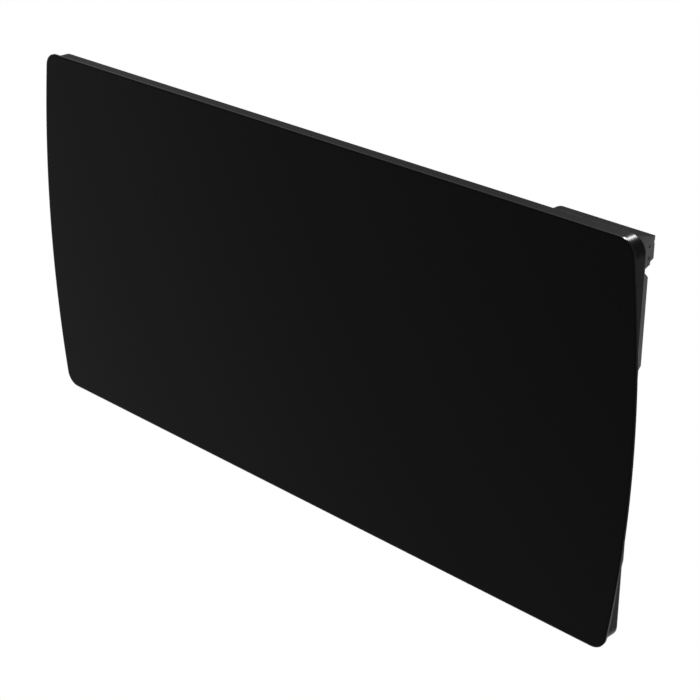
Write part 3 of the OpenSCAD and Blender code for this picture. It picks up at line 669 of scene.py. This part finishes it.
BLACK_GLASS = BlackGlass("black_glass")
GLASS_EDGE = GroundEdge("ground_glass_edge")
GLASS_PRINT = Enamel("black_print")
FRAME_PAINT = PowderCoat("black_powder_coat")
PANEL_PAINT = PowderCoat(
    "grey_powder_coat", (0.044, 0.044, 0.0455), (0.053, 0.053, 0.0545), 0.45, 0.05, 0.0011, 0.00003
)
BOX_PLASTIC = Moulding("box_plastic")
BLACK_PLASTIC = Moulding(
    "black_plastic", (0.016, 0.016, 0.017), (0.021, 0.021, 0.022), 0.42, 0.3, 0.0006, 0.00002
)
ROCKER_PLASTIC = Moulding(
    "rocker_plastic", (0.014, 0.014, 0.015), (0.017, 0.017, 0.018), 0.16, 0.4, 0.002, 0.000004
)
PALE_PLASTIC = Moulding("pale_plastic", (0.55, 0.55, 0.52), (0.6, 0.6, 0.57), 0.5, 0.4)
PART_PLASTIC = Moulding("component_plastic", (0.02, 0.03, 0.07), (0.03, 0.04, 0.08), 0.4, 0.4)
GALVANISED = Spangle("galvanised")
ZINC = Plating("zinc_plating")
YELLOW_ZINC = Plating("yellow_zinc", (0.62, 0.5, 0.24), (0.52, 0.46, 0.3), 0.32)
BLACK_OXIDE = Plating("black_oxide", (0.03, 0.03, 0.032), (0.05, 0.05, 0.052), 0.38)
RIBBON_STEEL = Plating("resistance_ribbon", (0.3, 0.28, 0.25), (0.24, 0.2, 0.17), 0.5)
BRIGHT_FOIL = Plating("bright_aluminium", (0.84, 0.85, 0.86), (0.78, 0.79, 0.8), 0.2)
BLACK_RUBBER = Rubber("black_rubber")
SILICONE = Rubber("black_silicone", (0.012, 0.012, 0.012), 0.4)
RED_SLEEVE = Rubber("red_silicone_sleeve", (0.3, 0.035, 0.02), 0.5)
CORDIERITE = FiredCeramic("cordierite")
STEATITE = FiredCeramic("steatite", (0.78, 0.76, 0.7), (0.66, 0.63, 0.55), 0.3)
FIBRE_MAT = Felt("fibre_mat")
BOARD_LACQUER = SolderMask("board_lacquer")


def softened(corners: Sequence[Triple], steps: int = 4) -> list[Flat]:
    """Rounds the corners of an open line.

    Args:
        corners: Each corner's two coordinates and how far its rounding reaches along each side.
        steps: How many pieces a rounding has.

    Returns:
        The points of the rounded line.
    """
    line: list[Flat] = []
    for i, (u, v, reach) in enumerate(corners):
        if reach <= 0.0 or i in (0, len(corners) - 1):
            line.append((u, v))
            continue
        here = Vector((u, v))
        ends = []
        for other in (corners[i - 1], corners[i + 1]):
            way = Vector(other[:2]) - here
            ends.append(here + way.normalized() * min(reach, way.length * 0.5))
        for k in range(steps + 1):
            t = k / steps
            point = ends[0] * (1 - t) ** 2 + here * (2 * t * (1 - t)) + ends[1] * t**2
            line.append((point.x, point.y))
    return line


def lathed(line: Sequence[Flat], steps: int) -> list[list[Vector]]:
    """Turns a line round the Z axis.

    Args:
        line: Radii and heights.
        steps: Points round the axis.

    Returns:
        The rings.
    """
    turns = [2 * math.pi * k / steps for k in range(steps)]
    return [[Vector((r * math.cos(a), r * math.sin(a), z)) for a in turns] for r, z in line]


def seated(spots: Sequence[Triple], facing: Matrix, first: float, further: float) -> list[Matrix]:
    """Puts screws on their seats, with each recess turned another way.

    Args:
        spots: The seats.
        facing: Turns a screw's axis into its seat.
        first: How far the first recess is turned, in radians.
        further: How much further each next one is.

    Returns:
        Where each screw goes.
    """
    return [
        Matrix.Translation(spot) @ facing @ Matrix.Rotation(first + further * k, 4, "Z")
        for k, spot in enumerate(spots)
    ]


def smoothed(mesh: bpy.types.Mesh, crease: float) -> bpy.types.Mesh:
    """Shades a mesh smooth.

    Args:
        mesh: The mesh.
        crease: The angle in degrees above which an edge stays sharp.

    Returns:
        The same mesh.
    """
    mesh.polygons.foreach_set("use_smooth", [True] * len(mesh.polygons))
    mesh.set_sharp_from_angle(angle=math.radians(crease))
    return mesh


@dataclass
class Skin:
    """A mesh made of rings of points, joined one to the next."""

    rings: list[list[Vector]]
    capped: bool = True

    def build(self, name: str, crease: float = 35.0) -> bpy.types.Mesh:
        """Joins the rings.

        Args:
            name: The mesh's name.
            crease: The angle in degrees above which an edge is sharp.

        Returns:
            The mesh. Its faces run ring by ring; then come the caps, if it has them.
        """
        work = bmesh.new()
        rows = [[work.verts.new(p) for p in ring] for ring in self.rings]
        for low, high in zip(rows, rows[1:] if self.capped else rows[1:] + rows[:1]):
            for i, vert in enumerate(low):
                j = (i + 1) % len(low)
                work.faces.new((vert, low[j], high[j], high[i]))
        if self.capped:
            work.faces.new(rows[0][::-1])
            work.faces.new(rows[-1])
        bmesh.ops.recalc_face_normals(work, faces=work.faces)
        mesh = bpy.data.meshes.new(name)
        work.to_mesh(mesh)
        work.free()
        return smoothed(mesh, crease)


class Piece:
    """Puts meshes into the scene as pieces that ride on a body."""

    @staticmethod
    def place(
        name: str,
        mesh: bpy.types.Mesh,
        body: str,
        slot: str,
        nodes: Sequence[str],
        finishes: Sequence[Finish],
    ) -> None:
        """Adds a piece that stands for solids.

        Args:
            name: The piece's name.
            mesh: Its mesh, in the part's frame.
            body: The body that it rides on.
            slot: The record's material slot; not used.
            nodes: The solids that it stands for.
            finishes: Its materials, in the order of its faces' indices.
        """
        piece = bpy.data.objects.new(name, mesh)
        bpy.context.scene.collection.objects.link(piece)
        for finish in finishes:
            mesh.materials.append(finish.material())
        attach(piece, body)
        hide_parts(*nodes)
        LOG.info("%s: %d faces on %s", name, len(mesh.polygons), body)

    @staticmethod
    def dress(finish: Finish, *nodes: str) -> None:
        """Gives solids their finish.

        Args:
            finish: The finish.
            *nodes: The solids' names.
        """
        for name in nodes:
            node = bpy.data.objects[name]
            node.data.materials.clear()
            node.data.materials.append(finish.material())
            LOG.info("%s: %s", name, finish.name)

    @staticmethod
    def gathered(name: str, mesh: bpy.types.Mesh, places: Sequence[Matrix]) -> bpy.types.Mesh:
        """Copies a mesh to several places, as one mesh.

        Args:
            name: The new mesh's name.
            mesh: The mesh to copy.
            places: Where each copy goes.

        Returns:
            The joined mesh.
        """
        work = bmesh.new()
        for place in places:
            copy = mesh.copy()
            copy.transform(place)
            work.from_mesh(copy)
            bpy.data.meshes.remove(copy)
        joined = bpy.data.meshes.new(name)
        work.to_mesh(joined)
        work.free()
        return smoothed(joined, 30.0)


@dataclass
class GlassPlate:
    """The bowed glass front with its polished bevel."""

    width: float = 1.0
    height: float = 0.49
    bow: float = 0.019
    corner: float = 0.02
    thickness: float = 0.004
    front: float = -0.055
    bevel: Flat = (0.002, 0.0008)
    arris: float = 0.0004
    arris_reach: float = 0.00012
    bevel_reach: Flat = (0.00022, 0.00035)
    side_steps: int = 40
    corner_steps: int = 16
    crease: float = 12.0

    def outline(self, inset: float) -> list[Flat]:
        """Works out the plate's outline.

        Args:
            inset: How far inside the edge it runs.

        Returns:
            Points across and up, once round the plate.
        """
        big = (self.height**2 / 4 + self.bow**2) / (2 * self.bow)
        middle = self.width / 2 - big
        rise = self.height / 2 - self.corner
        centre = middle + math.sqrt((big - self.corner) ** 2 - rise**2)
        blend = math.atan2(rise, centre - middle)
        quarter: list[Flat] = []
        for i in range(self.side_steps + 1):
            a = blend * i / self.side_steps
            quarter.append((middle + (big - inset) * math.cos(a), (big - inset) * math.sin(a)))
        for i in range(1, self.corner_steps + 1):
            a = blend + (math.pi / 2 - blend) * i / self.corner_steps
            r = self.corner - inset
            quarter.append((centre + r * math.cos(a), rise + r * math.sin(a)))
        left = [(-x, z) for x, z in reversed(quarter)]
        under = [(x, -z) for x, z in reversed((quarter + left)[1:-1])]
        return quarter + left + under

    def build(self) -> None:
        """Builds the plate and gives its face, edge and back their finishes."""
        back = self.front + self.thickness
        wide, deep = self.bevel
        edge_reach, face_reach = self.bevel_reach
        line = softened(
            [
                (self.arris * 3, back, 0.0),
                (self.arris, back, self.arris_reach),
                (0.0, back - self.arris, self.arris_reach),
                (0.0, self.front + deep, edge_reach),
                (wide, self.front, face_reach),
                (wide * 2.0, self.front, 0.0),
            ]
        )
        rings = [[Vector((x, y, z)) for x, z in self.outline(inset)] for inset, y in line]
        mesh = Skin(rings).build("glass_plate", self.crease)
        around = len(rings[0])
        zones = []
        for _, y in line[:-1]:
            zone = Zone.PRINT if y > back - self.arris * 0.5 else Zone.EDGE
            if y < self.front + deep * 0.9:
                zone = Zone.FACE
            zones += [zone.value] * around
        zones += [Zone.PRINT.value, Zone.FACE.value]
        mesh.polygons.foreach_set("material_index", zones)
        finishes = [BLACK_GLASS, GLASS_EDGE, GLASS_PRINT]
        Piece.place("glass_plate", mesh, "heater", "black_glass", ["glass_front"], finishes)


@dataclass(frozen=True)
class CrossScrew:
    """A pan-head screw with a cross recess: its seat at 0, its shank along +Z."""

    head_r: float
    head_h: float
    shank_r: float
    length: float
    steps: int = 40
    rim: float = 0.42
    dome_steps: int = 8
    dome_step: float = 10.0
    dome_power: float = 0.8
    tip: Flat = (0.45, 0.8)
    seat_edge: Flat = (0.95, 0.08)
    arm: float = 0.58
    arm_half: float = 0.115
    recess_rings: tuple[Flat, ...] = ((1.05, 1.2), (1.0, 0.9), (0.45, 0.3))

    def body(self) -> bpy.types.Mesh:
        """Turns the screw's head and shank.

        Returns:
            The screw without its recess.
        """
        (point, cone), (flat, chamfer) = self.tip, self.seat_edge
        line: list[Flat] = [
            (self.shank_r * point, self.length),
            (self.shank_r, self.length - self.shank_r * cone),
            (self.shank_r, 0.0),
            (self.head_r * flat, 0.0),
            (self.head_r, -self.head_h * chamfer),
            (self.head_r, -self.head_h * self.rim),
        ]
        for k in range(1, self.dome_steps + 1):
            a = math.radians(k * self.dome_step)
            rise = self.rim + (1.0 - self.rim) * math.sin(a)
            line.append((self.head_r * math.cos(a) ** self.dome_power, -self.head_h * rise))
        return Skin(lathed(line, self.steps)).build("screw_body")

    def recess(self) -> bpy.types.Mesh:
        """Makes the tool that cuts the recess.

        Returns:
            A cross that narrows into the head.
        """
        arm, half = self.head_r * self.arm, self.head_r * self.arm_half
        plus = [(arm, -half), (arm, half), (half, half), (half, arm), (-half, arm), (-half, half)]
        plus += [(-x, -y) for x, y in plus]
        rings = []
        for scale, rise in self.recess_rings:
            rings.append([Vector((x * scale, y * scale, -self.head_h * rise)) for x, y in plus])
        return Skin(rings).build("screw_recess")

    def mesh(self) -> bpy.types.Mesh:
        """Cuts the recess into the head.

        Returns:
            The finished screw.
        """
        shown = bpy.context.scene.collection.objects
        screw = bpy.data.objects.new("screw_work", self.body())
        cutter = bpy.data.objects.new("screw_cutter", self.recess())
        shown.link(screw)
        shown.link(cutter)
        cut = screw.modifiers.new("recess", "BOOLEAN")
        cut.object = cutter
        cut.solver = "EXACT"
        ready = bpy.context.evaluated_depsgraph_get()
        mesh = bpy.data.meshes.new_from_object(screw.evaluated_get(ready))
        for tool in (screw, cutter):
            bpy.data.objects.remove(tool)
        return mesh


@dataclass
class FrameAndBack:
    """The bent frame, its back panel and the screws that join them."""

    half_width: float = 0.481
    half_height: float = 0.2415
    screw_pitch: float = 0.19721
    edge: float = 0.005
    seat: float = -0.0302
    side_height: float = -0.17
    box_seat: float = -0.0284
    box_screws: tuple[Flat, ...] = ((0.1105, 0.228), (0.0064, 0.2245))
    turns: Flat = (0.7, 1.9)
    screw: CrossScrew = CrossScrew(3.4 * MM, 2.0 * MM, 1.6 * MM, 5.5 * MM)

    def screw_places(self) -> list[Matrix]:
        """Works out where the panel screws sit.

        Returns:
            Five places below, four above, one a side and two in the control box.
        """
        x, z = self.half_width - self.edge, self.half_height - self.edge
        spots = [(i * self.screw_pitch, self.seat, -z) for i in range(-2, 3)]
        spots += [(i * self.screw_pitch, self.seat, z) for i in range(-2, 2)]
        spots += [(side.value * x, self.seat, self.side_height) for side in Side]
        spots += [(self.half_width - inset, self.box_seat, height) for inset, height in self.box_screws]
        return seated(spots, Matrix.Rotation(math.radians(90), 4, "X"), *self.turns)

    def build(self) -> None:
        """Builds the screws and dresses the frame and the panel."""
        mesh = Piece.gathered("panel_screw_set", self.screw.mesh(), self.screw_places())
        Piece.place("panel_screw_set", mesh, "heater", "black_screws", ["panel_screws"], [BLACK_OXIDE])
        Piece.dress(FRAME_PAINT, "frame")
        Piece.dress(PANEL_PAINT, "back_panel")
        Piece.dress(GALVANISED, "frame_joiner", "lock_keepers")
        Piece.dress(SILICONE, "glass_bond")


@dataclass
class ControlBox:
    """The moulded box behind the upper right-hand corner."""

    side_face: float = 0.4799
    side_depth: float = -0.0253
    side_heights: Flat = (0.231, 0.218)
    lid_x: float = 0.3705
    lid_seat: float = -0.0172
    lid_heights: Flat = (0.2345, 0.2215)
    side_turns: Flat = (0.4, 1.0)
    lid_turns: Flat = (0.2, 1.3)
    side_screw: CrossScrew = CrossScrew(1.8 * MM, 0.9 * MM, 1.0 * MM, 6.0 * MM)
    lid_screw: CrossScrew = CrossScrew(1.8 * MM, 0.9 * MM, 1.0 * MM, 8.9 * MM)

    def build(self) -> None:
        """Builds the small screws and dresses the mouldings and boards."""
        into_side = Matrix.Rotation(math.radians(-90), 4, "Y")
        into_lid = Matrix.Rotation(math.radians(90), 4, "X")
        sides = [(self.side_face, self.side_depth, z) for z in self.side_heights]
        lids = [(self.lid_x, self.lid_seat, z) for z in self.lid_heights]
        for name, node, screw, places in (
            ("side_screw_set", "side_screws", self.side_screw, seated(sides, into_side, *self.side_turns)),
            ("lid_screw_set", "lid_screws", self.lid_screw, seated(lids, into_lid, *self.lid_turns)),
        ):
            mesh = Piece.gathered(name, screw.mesh(), places)
            Piece.place(name, mesh, "heater", "black_screws", [node], [BLACK_OXIDE])
        Piece.dress(BOX_PLASTIC, "control_base", "control_lid")
        Piece.dress(BOARD_LACQUER, "control_board", "touch_board")
        Piece.dress(PART_PLASTIC, "board_parts")


@dataclass
class CordInlet:
    """The hexagonal gland that a mains cord would pass through."""

    x: float = 0.395
    z: float = -0.217
    bore: float = 3.75 * MM
    thread: float = 6.0 * MM
    barrel: float = 7.0 * MM
    hexagon: float = 9.2 * MM
    ribs: int = 22
    groove: float = 0.28 * MM
    groove_power: int = 3
    around: int = 132
    crease: float = 28.0

    def radius(self, shape: Section, r: float, angle: float) -> float:
        """Works out how far the skin is from the axis.

        Args:
            shape: The skin's shape there.
            r: The shape's largest radius.
            angle: Where round the axis, in radians.

        Returns:
            The distance in metres.
        """
        if shape is Section.RIBBED:
            return r - self.groove * (0.5 + 0.5 * math.cos(angle * self.ribs)) ** self.groove_power
        if shape is Section.HEXAGON:
            half_side = math.pi / 6
            turned = (angle + half_side) % (2 * half_side) - half_side
            off_flat = turned - half_side if turned > 0 else turned + half_side
            return min(r, self.hexagon * math.cos(half_side) / math.cos(off_flat))
        return r

    def build(self) -> None:
        """Builds the gland and dresses its nut."""
        plain, ribbed, hexagon = Section.ROUND, Section.RIBBED, Section.HEXAGON
        line = [
            (plain, self.bore, 38.0),
            (plain, self.thread - 0.5 * MM, 38.0),
            (plain, self.thread, 37.4),
            (plain, self.thread, 30.2),
            (hexagon, 8.7 * MM, 30.2),
            (hexagon, self.hexagon, 29.9),
            (hexagon, self.hexagon, 27.5),
            (hexagon, 8.3 * MM, 27.0),
            (plain, self.barrel - 0.4 * MM, 27.0),
            (plain, self.barrel - 0.4 * MM, 26.5),
            (ribbed, self.barrel, 26.2),
            (ribbed, self.barrel, 19.6),
            (plain, self.barrel - 0.2 * MM, 19.1),
            (plain, 5.75 * MM, 17.45),
            (plain, 5.4 * MM, 17.2),
            (plain, self.bore + 0.5 * MM, 17.2),
            (plain, self.bore, 17.6),
        ]
        rings = []
        for shape, r, height in line:
            ring = []
            for k in range(self.around):
                a = 2 * math.pi * k / self.around
                far = self.radius(shape, r, a)
                ring.append(Vector((self.x + far * math.cos(a), -height * MM, self.z + far * math.sin(a))))
            rings.append(ring)
        mesh = Skin(rings, capped=False).build("cord_gland", self.crease)
        Piece.place("cord_gland", mesh, "heater", "black_plastic", ["cable_gland"], [BLACK_PLASTIC])
        Piece.dress(BLACK_PLASTIC, "gland_nut")


@dataclass
class MainsSwitch:
    """The rocker under the frame, with its concave key."""

    x: float = 0.417
    y: float = -0.0406
    z: float = -0.2385
    half: float = 7.2 * MM
    width: float = 8.8 * MM
    tipped: float = 8.0
    middle: float = 1.0 * MM
    shoulder: float = 2.5 * MM
    tip: float = 5.0 * MM
    dish: float = 4.0
    dish_power: float = 2.2
    dish_steps: int = 12
    heel: Flat = (3.0 * MM, -2.0 * MM)
    softening: tuple[Flat, ...] = ((0.35, 1.0), (0.1, 0.97), (0.0, 0.9))
    axle: Flat = (1.2 * MM, 5.6 * MM)
    axle_steps: int = 24
    crease: float = 40.0

    def key_line(self) -> list[Flat]:
        """Draws the key's outline, seen along its axle.

        Returns:
            Its points, with a dished top.
        """
        heel_x, heel_z = self.heel
        top = [(self.half, self.shoulder), (self.half, self.tip)]
        for k in range(1, self.dish_steps):
            x = self.half * (1 - 2 * (k / self.dish_steps))
            top.append((x, (self.dish + abs(x / self.half) ** self.dish_power) * MM))
        top += [(-self.half, self.tip), (-self.half, self.shoulder)]
        return top + [(-heel_x, heel_z), (heel_x, heel_z)]

    def key(self) -> bpy.types.Mesh:
        """Makes the key, level.

        Returns:
            The key, with soft edges at both ends.
        """
        ends = [(inset * MM, -depth) for inset, depth in self.softening]
        ends += [(inset * MM, depth) for inset, depth in reversed(self.softening)]
        line = self.key_line()
        rings = []
        for inset, depth in ends:
            slim, z = 1 - inset / self.half, depth * self.width / 2
            slimmed = [(x * slim, v - math.copysign(inset, v - self.middle)) for x, v in line]
            rings.append([Vector((x, y, z)) for x, y in slimmed])
        return Skin(rings).build("rocker_key", self.crease)

    def build(self) -> None:
        """Builds the key and its axle, and dresses the switch body."""
        radius, reach = self.axle
        axle = Skin(lathed([(radius, -reach), (radius, reach)], self.axle_steps)).build("rocker_axle")
        down = Matrix.Rotation(math.radians(90), 4, "X") @ Matrix.Diagonal((1.0, -1.0, 1.0, 1.0))
        tip = Matrix.Rotation(math.radians(self.tipped), 4, "Z")
        turned = Matrix.Translation((self.x, self.y, self.z)) @ down @ tip
        joined = self.joined(self.key(), axle, turned)
        mesh = Piece.gathered("rocker_key", joined, [Matrix.Identity(4)])
        Piece.place("rocker_key", mesh, "rocker", "rocker_plastic", ["power_rocker"], [ROCKER_PLASTIC])
        Piece.dress(BLACK_PLASTIC, "switch_body")

    @staticmethod
    def joined(first: bpy.types.Mesh, second: bpy.types.Mesh, place: Matrix) -> bpy.types.Mesh:
        """Joins two meshes into one at a place, with their faces outwards.

        Args:
            first: One mesh.
            second: The other.
            place: Where both go.

        Returns:
            The joined mesh.
        """
        work = bmesh.new()
        for mesh in (first, second):
            mesh.transform(place)
            work.from_mesh(mesh)
        bmesh.ops.recalc_face_normals(work, faces=work.faces)
        mesh = bpy.data.meshes.new("rocker_joined")
        work.to_mesh(mesh)
        work.free()
        return mesh


class HeatingCore:
    """Slabs, ribbons, mat and what holds them, inside the frame."""

    def build(self) -> None:
        """Dresses the core's solids."""
        Piece.dress(CORDIERITE, "ceramic_slabs")
        Piece.dress(RIBBON_STEEL, "heating_ribbons")
        Piece.dress(GALVANISED, "clamp_bars")
        Piece.dress(ZINC, "clamp_screws")
        Piece.dress(BRIGHT_FOIL, "reflector_sheet")
        Piece.dress(FIBRE_MAT, "insulation_mat")
        Piece.dress(STEATITE, "thermal_cutouts", "terminal_block")
        Piece.dress(PALE_PLASTIC, "room_sensor")
        Piece.dress(RED_SLEEVE, "core_wiring")


class WallBracket:
    """The channels and rails on the wall, with their locks and buffers."""

    def build(self) -> None:
        """Dresses the bracket's solids."""
        Piece.dress(GALVANISED, "channel_left", "channel_right", "rail_top", "rail_bottom")
        Piece.dress(ZINC, "rail_rivets", "lock_rivets")
        Piece.dress(YELLOW_ZINC, "lock_lever_left", "lock_lever_right")
        Piece.dress(BLACK_RUBBER, "bracket_buffers")


@dataclass(frozen=True)
class Softbox:
    """A square studio lamp."""

    name: str
    place: Triple
    target: Triple
    size: float
    radiance: float
    reach: Reach = Reach.BOTH
    lit: tuple[str, ...] = ()

    def build(self) -> None:
        """Hangs the lamp, points it and gives it the pieces that it lights, if it has its own."""
        lamp = bpy.data.lights.new(self.name, "AREA")
        lamp.shape = "SQUARE"
        lamp.size = self.size
        lamp.energy = self.radiance * math.pi * self.size**2
        box = bpy.data.objects.new(self.name, lamp)
        box.location = self.place
        box.rotation_mode = "QUATERNION"
        box.rotation_quaternion = (Vector(self.target) - Vector(self.place)).to_track_quat("-Z", "Y")
        box.visible_camera = False
        box.visible_diffuse = self.reach is not Reach.GLINT
        box.visible_glossy = self.reach is not Reach.FILL
        if self.lit:
            group = bpy.data.collections.new(f"{self.name}_lit")
            for piece in self.lit:
                group.objects.link(bpy.data.objects[piece])
            box.light_linking.receiver_collection = group
        bpy.context.scene.collection.objects.link(box)
        LOG.info("lamp %s", self.name)


@dataclass
class Studio:
    """White surroundings, a pale floor, softboxes and the photograph's camera."""

    floor_height: float = -0.6
    floor_reach: float = 9.0
    floor_steps: int = 96
    floor_colour: Colour = (0.86, 0.86, 0.86)
    lamp_gap: float = 0.015
    ambient: float = 0.5
    camera_place: Triple = (1.44531, -1.43884, 0.90543)
    azimuth: float = 44.452
    elevation: float = 25.153
    roll: float = -0.189
    lens: float = 92.489
    sensor: float = 36.0
    clip: Flat = (0.05, 50.0)

    def seen(self, graph: ShaderGraph) -> Number:
        """Returns 1 for what the camera sees, by itself or in gloss or glass, and else 0.

        Args:
            graph: The material or world that asks.

        Returns:
            The number.
        """
        rays = graph.node("ShaderNodeLightPath").outputs
        names = ("Is Camera Ray", "Is Glossy Ray", "Is Transmission Ray")
        camera, gloss, glass = (Number(graph, rays[name]) for name in names)
        ways = camera + gloss + glass
        return ways.math("MINIMUM", ways, 1.0)

    def blend(self, graph: ShaderGraph, light: bpy.types.Node, white: bpy.types.Node) -> None:
        """Ends a shader in white to look at and something else for light.

        Args:
            graph: The material or world.
            light: What diffuse rays meet.
            white: What the camera and gloss see.
        """
        values = {0: self.seen(graph), 1: light.outputs[0], 2: white.outputs[0]}
        both = graph.node("ShaderNodeMixShader", {}, values)
        graph.tree.links.new(both.outputs[0], graph.output.inputs[0])

    def world(self) -> None:
        """Makes the surroundings: white to look at, plain soft light on the object."""
        world = bpy.data.worlds.new("studio_air")
        bpy.context.scene.world = world
        world.use_nodes = True
        graph = ShaderGraph(world.node_tree, "ShaderNodeOutputWorld")
        light = graph.node("ShaderNodeBackground", {}, {"Color": WHITE, "Strength": self.ambient})
        white = graph.node("ShaderNodeBackground", {}, {"Color": WHITE, "Strength": 1.0})
        self.blend(graph, light, white)

    def floor(self) -> None:
        """Lays the floor: white to look at, pale and matt for the light that it throws back."""
        work = bmesh.new()
        bmesh.ops.create_circle(
            work,
            cap_ends=True,
            radius=self.floor_reach,
            segments=self.floor_steps,
            matrix=Matrix.Translation((0, 0, self.floor_height)),
        )
        mesh = bpy.data.meshes.new("studio_floor")
        work.to_mesh(mesh)
        work.free()
        floor = bpy.data.objects.new("studio_floor", mesh)
        bpy.context.scene.collection.objects.link(floor)
        material = bpy.data.materials.new("look_studio_floor")
        material.use_nodes = True
        graph = ShaderGraph(material.node_tree, "ShaderNodeOutputMaterial")
        matt = graph.node("ShaderNodeBsdfDiffuse", {}, {"Color": self.floor_colour})
        white = graph.node("ShaderNodeEmission", {}, {"Color": WHITE, "Strength": 1.0})
        self.blend(graph, matt, white)
        mesh.materials.append(material)

    def camera(self) -> None:
        """Sets the camera where the photograph's stood."""
        az, el, roll = (math.radians(v) for v in (self.azimuth, self.elevation, self.roll))
        ahead = Vector((-math.sin(az) * math.cos(el), math.cos(az) * math.cos(el), -math.sin(el)))
        right = Vector((math.cos(az), math.sin(az), 0.0))
        down = ahead.cross(right)
        level_right = right * math.cos(roll) + down * math.sin(roll)
        level_down = down * math.cos(roll) - right * math.sin(roll)
        turned = Matrix((level_right, -level_down, -ahead)).transposed().to_4x4()
        data = bpy.data.cameras.new("photo_camera")
        data.sensor_width = self.sensor
        data.lens = self.lens
        data.clip_start, data.clip_end = self.clip
        camera = bpy.data.objects.new("photo_camera", data)
        camera.matrix_world = Matrix.Translation(self.camera_place) @ turned
        bpy.context.scene.collection.objects.link(camera)
        bpy.context.scene.camera = camera

    def build(self) -> None:
        """Sets up the camera, the surroundings and how tones are shown."""
        self.camera()
        self.world()
        self.floor()
        bpy.context.scene.view_settings.view_transform = "Standard"

    def hang(self) -> None:
        """Hangs the lamps, once the pieces that they light are there."""
        rim, pane, glint = "frame", "glass_plate", Reach.GLINT
        corner, beside, below = (0.47, -0.04, 0.23), (1.15, 0.95), (0.52, 0.28)
        low, up = self.floor_height + self.lamp_gap, 1.0
        lamps = (
            Softbox("side_softbox", (2.9, -0.6, -0.15), (0.45, 0.0, -0.1), 1.5, 7.9),
            Softbox("top_softbox", (0.4, -1.6, 2.6), (0.0, 0.0, 0.0), 1.4, 1.2, Reach.FILL),
            Softbox("corner_glint", (-0.12, 1.93, 1.72), corner, 0.48, 340.0, glint, (rim, pane)),
            Softbox("side_glint", (*beside, low), (*beside, up), 1.7, 1.6, glint, (rim,)),
            Softbox("edge_glint", (*below, low), (*below, up), 0.6, 2.0, glint, (pane,)),
        )
        for lamp in lamps:
            lamp.build()


def main() -> None:
    """Loads the frame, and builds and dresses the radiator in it."""
    logging.basicConfig(level=logging.INFO, format="%(name)s %(message)s")
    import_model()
    studio = Studio()
    studio.build()
    for kind in (GlassPlate, FrameAndBack, ControlBox, CordInlet, MainsSwitch, HeatingCore, WallBracket):
        LOG.info("building %s", kind.__name__)
        kind().build()
    studio.hang()


if __name__ == "__main__":
    main()
